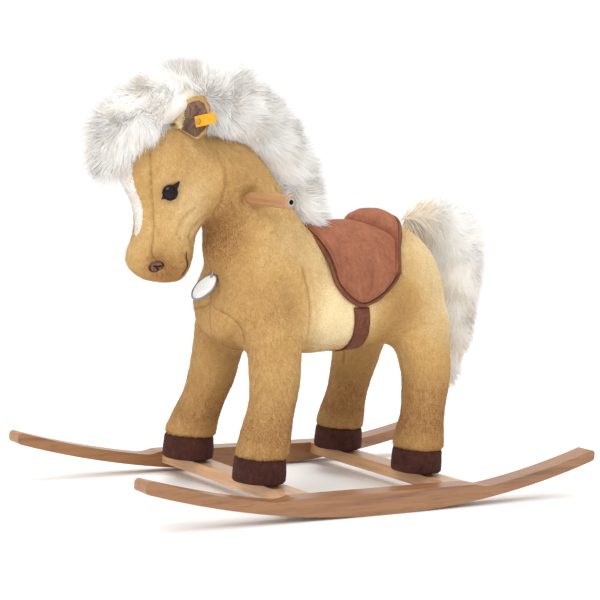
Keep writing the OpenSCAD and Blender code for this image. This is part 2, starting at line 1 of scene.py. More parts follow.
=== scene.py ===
"""Looks of the plush rocking horse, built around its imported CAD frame.

Metres, Z up, the horse faces -Y and its left side is +X. Shapes are worked out in millimetres.
"""

import json
import math

import bmesh
import bpy
import numpy as np
from mathutils import Matrix, Vector
from mathutils.bvhtree import BVHTree
from mathutils.kdtree import KDTree

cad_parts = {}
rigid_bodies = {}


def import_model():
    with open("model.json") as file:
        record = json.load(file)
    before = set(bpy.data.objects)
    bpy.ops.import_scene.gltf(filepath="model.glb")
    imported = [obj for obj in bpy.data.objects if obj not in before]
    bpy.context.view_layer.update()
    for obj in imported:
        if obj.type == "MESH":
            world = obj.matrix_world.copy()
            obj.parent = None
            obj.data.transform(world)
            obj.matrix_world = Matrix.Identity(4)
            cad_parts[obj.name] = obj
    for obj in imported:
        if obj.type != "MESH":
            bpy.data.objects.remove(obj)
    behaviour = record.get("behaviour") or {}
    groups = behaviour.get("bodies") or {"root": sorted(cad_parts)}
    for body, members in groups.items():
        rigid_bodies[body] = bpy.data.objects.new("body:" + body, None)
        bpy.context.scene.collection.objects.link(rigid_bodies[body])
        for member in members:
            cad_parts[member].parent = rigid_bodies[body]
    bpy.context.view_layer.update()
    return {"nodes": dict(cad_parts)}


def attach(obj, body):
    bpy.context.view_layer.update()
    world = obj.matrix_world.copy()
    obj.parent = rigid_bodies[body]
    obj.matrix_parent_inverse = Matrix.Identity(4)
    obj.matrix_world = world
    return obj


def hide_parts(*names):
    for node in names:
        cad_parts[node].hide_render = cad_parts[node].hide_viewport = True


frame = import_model()
MM = 0.001
TURN = 2 * math.pi


# ------------------------------------------------------------------ camera, stage and light
def set_camera():
    azimuth, elevation, roll = (math.radians(a) for a in (53.69, 4.89, 3.80))
    forward = Vector((-math.cos(elevation) * math.sin(azimuth),
                      math.cos(elevation) * math.cos(azimuth), -math.sin(elevation)))
    side = Vector((math.cos(azimuth), math.sin(azimuth), 0))
    up = side.cross(forward)
    right = side * math.cos(roll) + up * math.sin(roll)
    top = up * math.cos(roll) - side * math.sin(roll)
    data = bpy.data.cameras.new("camera")
    data.sensor_width = 36
    data.lens = 99.4
    data.clip_start = 0.05
    data.clip_end = 60
    ob = bpy.data.objects.new("camera", data)
    bpy.context.scene.collection.objects.link(ob)
    turned = Matrix((right, top, -forward)).transposed().to_4x4()
    ob.matrix_world = Matrix.Translation((2.248, -1.697, 0.563)) @ turned
    bpy.context.scene.camera = ob


def lamp(name, kind, place, target, power, size=1.0, colour=(1, 1, 1)):
    data = bpy.data.lights.new(name, kind)
    data.energy = power
    data.color = colour
    if kind == "AREA":
        data.size = size
    else:
        data.angle = size
    ob = bpy.data.objects.new(name, data)
    bpy.context.scene.collection.objects.link(ob)
    ob.location = place
    ob.rotation_euler = (Vector(target) - Vector(place)).to_track_quat("-Z", "Y").to_euler()
    return ob


set_camera()


# ------------------------------------------------------------------ colours and materials
def rgb(red, green, blue):
    """A screen colour, 0 to 255, as the linear colour that a shader takes."""
    out = []
    for c in (red, green, blue):
        c /= 255
        out.append(c / 12.92 if c <= 0.04045 else ((c + 0.055) / 1.055) ** 2.4)
    return (*out, 1.0)


class Finish:
    """A Principled material with small helpers for its pattern nodes."""

    def __init__(self, name, rough=0.7, **sockets):
        self.material = bpy.data.materials.new(name)
        self.material.use_nodes = True
        self.tree = self.material.node_tree
        self.shader = self.tree.nodes["Principled BSDF"]
        self.set("Roughness", rough)
        for key, value in sockets.items():
            self.set(key.replace("_", " "), value)

    def set(self, socket, value):
        self.shader.inputs[socket].default_value = value

    def node(self, kind, **fields):
        made = self.tree.nodes.new(kind)
        for key, value in fields.items():
            setattr(made, key, value)
        return made

    def link(self, a, b):
        self.tree.links.new(a, b)

    def place(self, scale=(1, 1, 1), turn=(0, 0, 0)):
        coordinates = self.node("ShaderNodeTexCoord")
        mapping = self.node("ShaderNodeMapping")
        mapping.inputs["Scale"].default_value = scale
        mapping.inputs["Rotation"].default_value = turn
        self.link(coordinates.outputs["Object"], mapping.inputs["Vector"])
        return mapping.outputs["Vector"]

    def noise(self, vector, scale, detail=3, rough=0.5, warp=0.0):
        made = self.node("ShaderNodeTexNoise")
        self.link(vector, made.inputs["Vector"])
        for key, value in (("Scale", scale), ("Detail", detail), ("Roughness", rough),
                           ("Distortion", warp)):
            made.inputs[key].default_value = value
        return made.outputs["Fac"]

    def weave(self, vector, scale, warp=0.0, direction="X"):
        made = self.node("ShaderNodeTexWave", wave_type="BANDS", bands_direction=direction)
        self.link(vector, made.inputs["Vector"])
        made.inputs["Scale"].default_value = scale
        made.inputs["Distortion"].default_value = warp
        return made.outputs["Fac"]

    def ramp(self, value, stops):
        made = self.node("ShaderNodeValToRGB")
        ramp = made.color_ramp
        while len(ramp.elements) < len(stops):
            ramp.elements.new(0.5)
        for element, (place, colour) in zip(ramp.elements, stops):
            element.position = place
            element.color = colour
        self.link(value, made.inputs["Fac"])
        return made.outputs["Color"]

    def mask(self, value, low, high, top=1.0):
        return self.ramp(value, [(low, (0, 0, 0, 1)), (high, (top, top, top, 1))])

    def math(self, operation, a, b):
        made = self.node("ShaderNodeMath", operation=operation)
        for i, value in enumerate((a, b)):
            if isinstance(value, (int, float)):
                made.inputs[i].default_value = value
            else:
                self.link(value, made.inputs[i])
        return made.outputs[0]

    def mix(self, share, a, b, kind="MIX"):
        made = self.node("ShaderNodeMix", data_type="RGBA", blend_type=kind)
        if isinstance(share, (int, float)):
            made.inputs[0].default_value = share
        else:
            self.link(share, made.inputs[0])
        for i, value in ((6, a), (7, b)):
            if isinstance(value, tuple):
                made.inputs[i].default_value = value
            else:
                self.link(value, made.inputs[i])
        return made.outputs[2]

    def attribute(self, name):
        made = self.node("ShaderNodeAttribute", attribute_name=name)
        return made.outputs["Fac"]

    def colour(self, value):
        self.link(value, self.shader.inputs["Base Color"])

    def roughness(self, value, low, high):
        made = self.node("ShaderNodeMapRange")
        made.inputs["To Min"].default_value = low
        made.inputs["To Max"].default_value = high
        self.link(value, made.inputs["Value"])
        self.link(made.outputs["Result"], self.shader.inputs["Roughness"])

    def bump(self, *layers):
        """layers: (height socket, strength, distance in mm), one on top of the other."""
        last = None
        for height, strength, distance in layers:
            made = self.node("ShaderNodeBump")
            made.inputs["Strength"].default_value = strength
            made.inputs["Distance"].default_value = distance * MM
            self.link(height, made.inputs["Height"])
            if last:
                self.link(last, made.inputs["Normal"])
            last = made.outputs["Normal"]
        self.link(last, self.shader.inputs["Normal"])


def wood(name, along, light, middle, dark, gloss=0.42, coat=0.25):
    """Oiled beech: slow waves of colour along the grain, and the short dark flecks of beech."""
    f = Finish(name, gloss, Coat_Weight=coat, Coat_Roughness=0.28, Specular_IOR_Level=0.45)
    slow = [42, 42, 42]
    slow[along] = 2.2
    fast = [420, 420, 420]
    fast[along] = 34
    band = f.noise(f.place(slow), 1.0, 5, 0.6, 0.6)
    fine = f.noise(f.place([s * 4 for s in slow]), 1.0, 4, 0.6)
    fleck = f.noise(f.place(fast), 1.0, 2, 0.5)
    base = f.ramp(band, [(0.28, dark), (0.48, middle), (0.72, light)])
    base = f.mix(f.mask(fine, 0.35, 0.75), base, light)
    spots = f.mask(fleck, 0.60, 0.70)
    f.colour(f.mix(f.math("MULTIPLY", spots, 0.45), base, dark))
    f.roughness(band, gloss - 0.08, gloss + 0.1)
    f.bump((fine, 0.12, 0.3), (spots, 0.1, 0.15))
    return f.material


def metal(name, tint, rough):
    f = Finish(name, rough, Metallic=1.0)
    dull = f.noise(f.place((30, 30, 30)), 1.0, 4, 0.6)
    fine = f.noise(f.place((900, 900, 60)), 1.0, 2)
    f.colour(f.mix(dull, tint, tuple(0.72 * c for c in tint[:3]) + (1.0,)))
    f.roughness(dull, rough - 0.06, rough + 0.12)
    f.bump((fine, 0.1, 0.05))
    return f.material


def suede(name, light, middle, dark, nap=0.5):
    """Brushed suede: cloudy nap that lies lighter and darker, with a short fuzzy grain."""
    f = Finish(name, 0.95, Sheen_Weight=0.35, Sheen_Roughness=0.5, Specular_IOR_Level=0.2)
    f.set("Sheen Tint", light)
    vector = f.place()
    cloud = f.noise(vector, 38, 4, 0.6, 0.6)
    streak = f.noise(f.place((1, 1, 0.6)), 150, 4, 0.62, 0.8)
    grain = f.noise(vector, 720, 3, 0.6)
    tone = f.mix(nap, f.ramp(cloud, [(0.3, dark), (0.52, middle), (0.75, light)]),
                 f.ramp(streak, [(0.3, dark), (0.5, middle), (0.74, light)]))
    tone = f.mix(f.mask(grain, 0.42, 0.8, 0.5), tone, dark)
    # The edge attribute paints the suede darker: along seams and rims, and as painted shade in the
    # nostril slits and deep in the ear's hollow.
    edge_darkening = f.attribute("edge")
    f.colour(f.mix(f.math("MULTIPLY", edge_darkening, 0.6), tone, dark))
    f.roughness(cloud, 0.86, 1.0)
    f.bump((grain, 0.45, 0.35), (streak, 0.2, 0.5))
    return f.material


def cloth(name, light, dark, scale):
    """A fine plain weave."""
    f = Finish(name, 0.9, Sheen_Weight=0.1)
    vector = f.place()
    over = f.weave(vector, scale, 0.4, "X")
    under = f.weave(vector, scale, 0.4, "Z")
    cloud = f.noise(vector, 60, 3)
    both = f.math("MULTIPLY", over, under)
    f.colour(f.mix(f.mix(0.5, both, cloud), dark, light))
    f.roughness(cloud, 0.8, 0.98)
    f.bump((both, 0.35, 0.2))
    return f.material


def felt(name, light, dark):
    f = Finish(name, 1.0, Sheen_Weight=0.2)
    vector = f.place()
    fibre = f.noise(vector, 380, 5, 0.75, 1.5)
    f.colour(f.ramp(fibre, [(0.35, dark), (0.7, light)]))
    f.bump((fibre, 0.5, 0.5))
    return f.material


def plush_skin(name, light, middle, dark, shaded=False):
    """The woven ground of the plush with its dense pile, darker where a seam pulls it in."""
    f = Finish(name, 0.95, Sheen_Weight=0.25, Sheen_Roughness=0.55, Specular_IOR_Level=0.15)
    f.set("Sheen Tint", light)
    vector = f.place()
    cloud = f.noise(vector, 14, 4, 0.6, 0.5)
    brush = f.noise(f.place((1, 1, 0.35)), 240, 4, 0.65, 0.8)
    grain = f.noise(vector, 800, 3, 0.65)
    # With shaded, the tone comes from the shade attribute, which holds the body's painted light and
    # shade.
    base = f.attribute("shade") if shaded else cloud
    stops = (0.0, 0.5, 1.0) if shaded else (0.3, 0.5, 0.72)
    tone = f.ramp(base, list(zip(stops, (dark, middle, light))))
    tone = f.mix(f.math("MULTIPLY", brush, 0.3), tone, light)
    tone = f.mix(f.mask(grain, 0.4, 0.8, 0.3), tone, dark)
    f.colour(f.mix(f.attribute("edge"), tone, rgb(96, 58, 30)))
    f.roughness(cloud, 0.88, 1.0)
    f.bump((brush, 0.5, 0.7), (grain, 0.5, 0.4))
    return f.material


def pile_tones(name, tints, count, sheen=0.3, rough=0.8, painted_glow=0.0):
    """One finish for each tone of the hairs: a pile's pattern is in the tones of its own hairs."""
    made = []
    for i in range(count):
        share = i / (count - 1) * (len(tints) - 1)
        first = min(int(share), len(tints) - 2)
        tint = tuple(a + (b - a) * (share - first) for a, b in zip(tints[first], tints[first + 1]))
        f = Finish(f"{name}_{i}", rough, Sheen_Weight=sheen, Sheen_Roughness=0.4,
                   Specular_IOR_Level=0.2)
        f.set("Base Color", tint)
        f.set("Sheen Tint", tint)
        # Painted glow: each hair emits light in its own tint, which lifts its shade.
        f.set("Emission Color", tint)
        f.set("Emission Strength", painted_glow)
        made.append(f.material)
    return made


def glossy(name, tint, deep, rough=0.05, coat=1.0):
    f = Finish(name, rough, Coat_Weight=coat, Coat_Roughness=0.03, Specular_IOR_Level=0.6)
    f.colour(f.ramp(f.noise(f.place(), 120, 2), [(0.35, deep), (0.7, tint)]))
    f.bump((f.noise(f.place(), 240, 2), 0.03, 0.05))
    return f.material


wood_y = wood("beech_rocker", 1, rgb(158, 112, 72), rgb(138, 94, 57), rgb(106, 66, 38), 0.4, 0.28)
wood_x = wood("beech_slat", 0, rgb(209, 166, 122), rgb(189, 143, 101), rgb(155, 108, 71))
wood_grip = wood("beech_grip", 0, rgb(186, 143, 101), rgb(169, 125, 86), rgb(140, 98, 65), 0.36)
dowel_wood = wood("dowel_beech", 0, rgb(222, 186, 148), rgb(203, 160, 121), rgb(172, 127, 90), 0.6,
                  0.0)
plywood = wood("plywood", 1, rgb(226, 200, 160), rgb(208, 178, 136), rgb(176, 140, 100), 0.7, 0.0)
steel = metal("steel", rgb(170, 174, 178), 0.35)
zinc = metal("zinc_fixings", rgb(196, 199, 204), 0.28)
nut_metal = metal("sleeve_nut_metal", rgb(188, 192, 200), 0.3)
rod_metal = metal("rod_metal", rgb(52, 52, 56), 0.4)
brass = metal("brass", rgb(214, 176, 98), 0.25)
rim_metal = metal("tag_rim_metal", rgb(150, 150, 154), 0.3)
black_felt = felt("pad_felt", rgb(58, 52, 50), rgb(24, 21, 20))
stuffing = felt("stuffing", rgb(240, 238, 232), rgb(214, 210, 202))
lash_felt = felt("lash_felt", rgb(34, 28, 26), rgb(10, 8, 8))
washer_plastic = glossy("washer_plastic", rgb(214, 214, 210), rgb(190, 190, 186), 0.4, 0.1)
eye_glass = glossy("eye_glass", rgb(30, 14, 10), rgb(5, 4, 4), 0.06, 0.0)
eye_glass.node_tree.nodes["Principled BSDF"].inputs["Specular IOR Level"].default_value = 0.22
enamel = glossy("tag_enamel", rgb(246, 246, 244), rgb(236, 236, 236), 0.16, 0.7)
saddle_hide = suede("saddle_suede", rgb(168, 112, 84), rgb(146, 92, 68), rgb(120, 72, 52))
pad_hide = suede("saddle_pad_suede", rgb(148, 94, 70), rgb(122, 74, 54), rgb(90, 52, 38))
girth_hide = suede("girth_suede", rgb(134, 86, 65), rgb(108, 66, 49), rgb(84, 48, 36), 0.8)
hoof_hide = suede("hoof_suede", rgb(92, 55, 44), rgb(68, 38, 32), rgb(45, 24, 20))
# Its darkest colour is also the painted shade of the nostril slits.
nose_hide = suede("nostril_suede", rgb(170, 130, 110), rgb(132, 94, 78), rgb(14, 8, 7))
lining = suede("ear_lining_velvet", rgb(148, 122, 106), rgb(122, 97, 82), rgb(66, 44, 34), 0.8)
tag_cloth = cloth("tag_ribbon", rgb(238, 178, 36), rgb(206, 140, 18), 1500)
thread = cloth("thread", rgb(222, 214, 198), rgb(180, 168, 146), 2400)
dark_thread = cloth("dark_thread", rgb(84, 50, 34), rgb(46, 26, 18), 2400)
skin_tan = plush_skin("plush_ground", rgb(236, 212, 162), rgb(195, 155, 97), rgb(134, 92, 50), True)
hair_ground = plush_skin("long_fur_ground", rgb(244, 241, 236), rgb(232, 228, 220),
                         rgb(214, 208, 196))
TAN = pile_tones("plush_pile", (rgb(144, 88, 39), rgb(199, 159, 96), rgb(248, 234, 192)), 9)
# The blaze's white pile has a faint painted glow.
WHITE = pile_tones("white_pile", (rgb(222, 212, 198), rgb(252, 250, 246)), 4, painted_glow=0.04)
# The long fur has a painted glow that lifts the shade between its hairs.
HAIR = pile_tones("long_fur", (rgb(210, 190, 160), rgb(222, 216, 205), rgb(234, 231, 227),
                               rgb(242, 241, 240)), 7, 0.05, 0.75, 0.18)


# ------------------------------------------------------------------ mesh helpers
def link(ob, body):
    bpy.context.scene.collection.objects.link(ob)
    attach(ob, body)
    return ob


def mesh_from(name, points, faces, materials):
    """An object from points in mm and faces of any size."""
    data = bpy.data.meshes.new(name)
    data.from_pydata((np.asarray(points) * MM).tolist(), [],
                     [list(map(int, f)) for f in faces])
    for m in materials:
        data.materials.append(m)
    data.polygons.foreach_set("use_smooth", [True] * len(data.polygons))
    data.update()
    return bpy.data.objects.new(name, data)


def grid(rows, cols, wrap=False, start=0, flip=False):
    """Quads between rows x cols points, closed round in the second direction if wrap."""
    r = np.arange(rows - 1)[:, None]
    c = np.arange(cols if wrap else cols - 1)[None, :]
    n = (c + 1) % cols
    quads = np.stack([r * cols + c, r * cols + n, (r + 1) * cols + n, (r + 1) * cols + c], -1)
    quads = quads.reshape(-1, 4) + start
    return quads[:, ::-1] if flip else quads


def shell_faces(rows, cols):
    """Faces of a closed sheet: one side's rows x cols points, then the other side's, then a rim."""
    size = rows * cols
    faces = grid(rows, cols).tolist() + grid(rows, cols, start=size, flip=True).tolist()
    border = [i * cols for i in range(rows)] + [(rows - 1) * cols + j for j in range(1, cols)]
    border += [i * cols + cols - 1 for i in range(rows - 2, -1, -1)] + list(range(cols - 2, 0, -1))
    for a, b in zip(border, border[1:] + border[:1]):
        faces.append([b, a, a + size, b + size])
    return faces


def capped(rows, sides):
    """Faces of rows x sides points closed round, with a fan to the pole at each end. The two
    poles come after the points."""
    count = rows * sides
    faces = grid(rows, sides, True).tolist()
    for k in range(sides):
        n = (k + 1) % sides
        faces += [[count, n, k], [count + 1, count - sides + k, count - sides + n]]
    return faces


def points_of(data):
    out = np.empty(len(data.vertices) * 3, np.float32)
    data.vertices.foreach_get("co", out)
    return out.reshape(-1, 3).astype(float) / MM


def normals_of(data):
    out = np.empty(len(data.vertices) * 3, np.float32)
    data.vertices.foreach_get("normal", out)
    return out.reshape(-1, 3).astype(float)


def move_to(data, points):
    data.vertices.foreach_set("co", (points * MM).astype(np.float32).ravel())
    data.update()


def push_out(data, amount):
    """Moves each point along its normal. amount: in mm, one for each point."""
    move_to(data, points_of(data) + normals_of(data) * amount[:, None])


def triangles_of(data):
    data.calc_loop_triangles()
    out = np.empty(len(data.loop_triangles) * 3, np.int32)
    data.loop_triangles.foreach_get("vertices", out)
    return out.reshape(-1, 3)


def edges_of(data):
    out = np.empty(len(data.edges) * 2, np.int32)
    data.edges.foreach_get("vertices", out)
    return out.reshape(-1, 2)


def bell(x, width):
    """1 where x is 0, fading smoothly to 0 as x passes the width."""
    return np.exp(-((x / width) ** 2))


def flat_grid(first, second):
    """Every pair of the two ranges, as two flat arrays, the first range the slower."""
    return tuple(m.ravel() for m in np.meshgrid(first, second, indexing="ij"))


def unit(v):
    return v / np.maximum(np.linalg.norm(v, axis=-1, keepdims=True), 1e-9)


def relax(points, edges, times, share=0.5, where=1.0, fill=None):
    """Draws each point towards the middle of its neighbours. fill: normals, to fill creases
    and leave what stands proud almost as it is."""
    count = np.zeros(len(points))
    np.add.at(count, edges.ravel(), 1)
    for _ in range(times):
        total = np.zeros_like(points)
        np.add.at(total, edges[:, 0], points[edges[:, 1]])
        np.add.at(total, edges[:, 1], points[edges[:, 0]])
        step = total / np.maximum(count, 1)[:, None] - points
        if fill is not None:
            sunk = (step * fill).sum(1) > 0
            step = step * np.where(sunk, 1.0, 0.12)[:, None]
        points = points + step * share * np.reshape(where, (-1, 1) if np.ndim(where) else ())
    return points


def write_attribute(data, name, values):
    layer = data.attributes.new(name, "FLOAT", "POINT")
    layer.data.foreach_set("value", np.asarray(values, np.float32))


def modified(ob, kind, **settings):
    """Applies one modifier to the object's mesh."""
    modifier = ob.modifiers.new(kind.lower(), kind)
    for key, value in settings.items():
        setattr(modifier, key, value)
    shown = bpy.context.scene.collection.objects
    guest = ob.name not in shown
    if guest:
        shown.link(ob)
    scene_graph = bpy.context.evaluated_depsgraph_get()
    made = bpy.data.meshes.new_from_object(ob.evaluated_get(scene_graph), depsgraph=scene_graph)
    if guest:
        shown.unlink(ob)
    ob.modifiers.clear()
    old, ob.data = ob.data, made
    bpy.data.meshes.remove(old)
    return ob


def outward(ob):
    """Turns every face to look out of a closed mesh."""
    b = bmesh.new()
    b.from_mesh(ob.data)
    bmesh.ops.remove_doubles(b, verts=b.verts, dist=0.02 * MM)
    bmesh.ops.recalc_face_normals(b, faces=b.faces)
    b.to_mesh(ob.data)
    b.free()
    return ob


def swirl(points, size, seed):
    """Smooth seeded noise from -1 to 1, with patches about size mm across."""
    r = np.random.default_rng(seed)
    total = np.zeros(len(points))
    for _ in range(7):
        wave = unit(r.normal(size=3)) * TURN / (size * r.uniform(1.3, 2.8))
        total += np.sin(points @ wave + r.uniform(0, TURN))
    return np.clip(total / 3.2, -1, 1)


def swirl_vector(points, size, seed):
    return np.stack([swirl(points, size, seed + i) for i in range(3)], -1)


def tree_of(data):
    faces = [tuple(p.vertices) for p in data.polygons]
    return BVHTree.FromPolygons((points_of(data) * MM).tolist(), faces)


def bump_at(points, centre, radius):
    return np.exp(-(((points - np.array(centre, float)) / radius) ** 2).sum(-1))


def tube(path, radius, sides=10, closed=False, swell=0.0, seed=0):
    """Points and faces of a tube along a path in mm. swell: how much its radius wanders."""
    path = np.asarray(path, float)
    count = len(path)
    ahead = np.roll(path, -1, 0) - np.roll(path, 1, 0)
    if not closed:
        ahead[0], ahead[-1] = path[1] - path[0], path[-1] - path[-2]
    ahead = unit(ahead)
    across = np.zeros_like(path)
    first = np.cross(ahead[0], [0, 0, 1.0])
    if np.linalg.norm(first) < 0.1:
        first = np.cross(ahead[0], [1.0, 0, 0])
    across[0] = unit(first)
    for i in range(1, count):
        kept = across[i - 1] - ahead[i] * (across[i - 1] @ ahead[i])
        across[i] = unit(kept)
    other = np.cross(ahead, across)
    angle = np.arange(sides) / sides * TURN
    size = radius * (1 + swell * swirl(path, 14, seed)) if np.ndim(radius) == 0 else radius
    ring = (np.cos(angle)[None, :, None] * across[:, None]
            + np.sin(angle)[None, :, None] * other[:, None])
    points = path[:, None] + ring * np.reshape(size, (-1, 1, 1))
    points = points.reshape(-1, 3)
    faces = grid(count, sides, True).tolist()
    if closed:
        last = (count - 1) * sides
        turn = int(np.argmin(np.linalg.norm(points[:sides] - points[last], axis=1)))
        for k in range(sides):
            a, b = (k + turn) % sides, (k + 1 + turn) % sides
            faces.append([last + k, last + (k + 1) % sides, b, a])
    else:
        faces.append(list(range(sides))[::-1])
        faces.append([(count - 1) * sides + k for k in range(sides)])
    return points, faces


def tube_piece(name, path, radius, sides, material, closed=False, swell=0.0, seed=0, edge_darkening=None):
    """A tube as an object of its own. worn: how dark its edge attribute makes it."""
    points, faces = tube(path, radius, sides, closed, swell, seed)
    made = mesh_from(name, points, faces, [material])
    if edge_darkening is not None:
        write_attribute(made.data, "edge", np.full(len(points), edge_darkening))
    return outward(made)


def smooth_path(places):
    """A Catmull-Rom curve through the places, with points about 2 mm apart."""
    p = np.asarray(places, float)
    length = np.linalg.norm(np.diff(p, axis=0), axis=1).sum()
    t = np.linspace(0, 1, max(int(length / 2), len(p) * 3))
    return catmull(p, t)


# ------------------------------------------------------------------ the body's lofts
def catmull(p, t):
    p = np.asarray(p, float)
    last = len(p) - 1
    u = np.clip(t, 0, 1) * last
    i = np.minimum(u.astype(int), last - 1)
    f = (u - i)[:, None]
    a, b, c, d = p[np.maximum(i - 1, 0)], p[i], p[i + 1], p[np.minimum(i + 2, last)]
    return 0.5 * (2 * b + (c - a) * f + (2 * a - 5 * b + 4 * c - d) * f**2
                  + (3 * b - a - 3 * c + d) * f**3)


def round_end(t, reach):
    if reach <= 0:
        return np.ones_like(t)
    return np.where(t >= reach, 1.0, np.sqrt(np.clip(1 - (1 - t / reach) ** 2, 0, 1)))


def spread_of(taper, q):
    """How much wider a ring is at q: a taper below 0 fills out its front half alone."""
    return 1 + taper * np.where(taper < 0, np.minimum(q, 0), q)


def loft_points(stations, t, angle, grow=0.0, caps=(0, 0)):
    """Points in mm of the surface that the CAD's loft samples. t and angle: flat arrays."""
    s = catmull(stations, t)
    size = round_end(t, caps[0]) * round_end(1 - t, caps[1])
    q = np.sin(angle)
    reach = np.maximum(np.where(q > 0, s[:, 6], s[:, 5]) * size + grow, 0.5)
    width = np.maximum(s[:, 4] * size * spread_of(s[:, 7], q) + grow, 0.5)
    tilt = np.radians(s[:, 3])
    return np.stack([s[:, 0] + width * np.cos(angle), s[:, 1] + reach * q * np.cos(tilt),
                     s[:, 2] + reach * q * np.sin(tilt)], -1)


def loft(name, stations, rings, sides, caps=(0, 0), grow=0.0, side=1):
    """A closed mesh of a loft."""
    steps = (1 - np.cos(np.pi * np.arange(rings + 1) / rings)) / 2
    inner = steps[(1 if caps[0] else 0):(rings if caps[1] else rings + 1)]
    angle = np.arange(sides) / sides * TURN
    t, a = flat_grid(inner, angle)
    points = loft_points(stations, t, a, grow, caps)
    poles = catmull(stations, steps[[0, -1]])[:, :3]
    points = np.vstack([points, poles])
    faces = capped(len(inner), sides)
    if side < 0:
        points = points * [-1, 1, 1]
        faces = [f[::-1] for f in faces]
    return mesh_from(name, points, faces, [])


TORSO = [
    [0, 238, 324, 90, 92, 76, 82, 0], [0, 212, 338, 90, 94, 84, 95, -0.12],
    [0, 165, 349, 90, 104, 91, 109, -0.24], [0, 110, 347, 90, 105, 93, 110, -0.3],
    [0, 40, 345, 90, 104, 102, 105, -0.3], [0, -40, 344, 90, 104, 108, 101, -0.3],
    [0, -110, 340, 90, 102, 101, 105, -0.24], [0, -165, 331, 90, 94, 89, 98, -0.12],
    [0, -196, 323, 90, 81, 73, 80, 0], [0, -215, 320, 90, 68, 60, 66, 0],
    [0, -226, 318, 90, 56, 48, 54, 0]]
NECK = [
    [0, -84, 362, 60, 92, 100, 70, 0], [0, -118, 404, 50, 90, 114, 70, 0],
    [0, -150, 448, 42, 80, 100, 66, 0], [0, -182, 490, 40, 66, 74, 68, 0],
    [0, -222, 530, 36, 60, 76, 70, 0], [0, -262, 560, 30, 55, 72, 66, 0],
    [0, -290, 584, 24, 50, 66, 58, 0]]
HEAD = [
    [0, -322, 351, 0, 41, 46, 46, 0], [0, -325, 372, 0, 46, 52, 50, 0],
    [0, -326, 396, 0, 48, 55, 55, 0], [0, -323, 424, 0, 44, 54, 54, 0.06],
    [0, -317, 452, 0, 44, 57, 64, 0.14], [0, -314, 482, 0, 50, 72, 82, 0.16],
    [0, -314, 512, 0, 54, 92, 90, 0.1], [0, -316, 545, 0, 55, 100, 86, 0.04],
    [0, -314, 580, 0, 52, 88, 74, 0], [0, -306, 612, 0, 48, 70, 60, 0]]
FRONT_LEG = [
    [107, -180, 83, 0, 42, 42, 42, 0], [107, -177, 97, 0, 43, 43, 43, 0],
    [103, -170, 125, 0, 40, 40, 40, 0], [94, -155, 175, 0, 40, 39, 39, 0],
    [84, -149, 235, 0, 42, 44, 44, 0], [70, -146, 290, 0, 43, 54, 54, 0],
    [54, -144, 350, 0, 38, 52, 52, 0]]
HIND_LEG = [
    [111, 144, 83, 0, 42, 42, 42, 0], [111, 145, 97, 0, 43, 43, 43, 0],
    [109, 150, 130, 0, 39, 39, 39, 0], [105, 155, 165, 0, 39, 38, 39, 0],
    [99, 159, 205, 0, 42, 40, 44, 0], [86, 161, 250, 0, 46, 51, 47, 0],
    [66, 158, 300, 0, 46, 68, 64, 0], [46, 156, 350, 0, 42, 64, 60, 0]]
MANE = [
    [0, -22, 438, 40, 26, 20, 14, 0], [0, -46, 462, 42, 40, 30, 28, 0],
    [0, -70, 502, 38, 46, 36, 36, 0], [0, -98, 548, 38, 52, 40, 44, 0],
    [0, -140, 592, 50, 58, 44, 51, 0], [0, -190, 626, 70, 62, 46, 59, 0],
    [0, -240, 640, 86, 64, 48, 60, 0]]
FORELOCK = [
    [0, -240, 640, 86, 64, 48, 60, 0], [0, -290, 639, 98, 66, 46, 60, 0],
    [0, -345, 630, 112, 66, 46, 52, 0], [0, -390, 606, 130, 62, 44, 47, 0],
    [0, -417, 575, 150, 54, 36, 43, 0], [0, -424, 545, 165, 42, 26, 34, 0],
    [0, -424, 520, 170, 26, 16, 20, 0]]
TAIL = [
    [0, 280, 166, 0, 26, 14, 12, 0], [0, 284, 205, 0, 41, 30, 23, 0],
    [0, 291, 262, 0, 47, 42, 34, 0], [0, 297, 320, 4, 48, 46, 42, 0],
    [0, 298, 380, 14, 48, 48, 46, 0], [0, 290, 430, 36, 46, 44, 48, 0],
    [0, 264, 464, 64, 40, 38, 44, 0], [0, 232, 474, 88, 34, 32, 34, 0],
    [0, 203, 474, 96, 30, 26, 28, 0], [0, 174, 470, 98, 20, 20, 20, 0]]
HANDLE = (-200, 494)


def torso_points(y, angle, grow=0.0, lift=0.0):
    """Points of the torso at y and angle, both flat arrays. lift: more height over the back."""
    t = np.linspace(0, 1, 3000)
    along = catmull(TORSO, t)[:, 1]
    at = np.interp(-np.asarray(y, float), -along, t)
    s = catmull(TORSO, at)
    size = round_end(at, 0.3) * round_end(1 - at, 0.06)
    q = np.sin(angle)
    reach = np.where(q > 0, s[:, 6] + lift, s[:, 5]) * size + grow
    width = s[:, 4] * size * spread_of(s[:, 7], q) + grow
    return np.stack([width * np.cos(angle), s[:, 1], s[:, 2] + reach * q], -1)


# ------------------------------------------------------------------ plush body
def body_core():
    parts = [loft("torso", TORSO, 70, 72, (0.3, 0.06)), loft("neck", NECK, 40, 64, (0, 0.3)),
             loft("head", HEAD, 60, 64, (0.14, 0.2))]
    for side in (1, -1):
        parts.append(loft("front_leg", FRONT_LEG, 40, 48, side=side))
        parts.append(loft("hind_leg", HIND_LEG, 40, 48, side=side))
    points, faces, start = [], [], 0
    for part in parts:
        points.append(points_of(part.data))
        faces += [[start + v for v in p.vertices] for p in part.data.polygons]
        start += len(part.data.vertices)
        bpy.data.objects.remove(part)
    return mesh_from("plush_body", np.vstack(points), faces, [skin_tan])


NOSTRIL = (41, -352, 374)


def mirrored(path):
    return [path, [(-x, y, z) for x, y, z in path]]


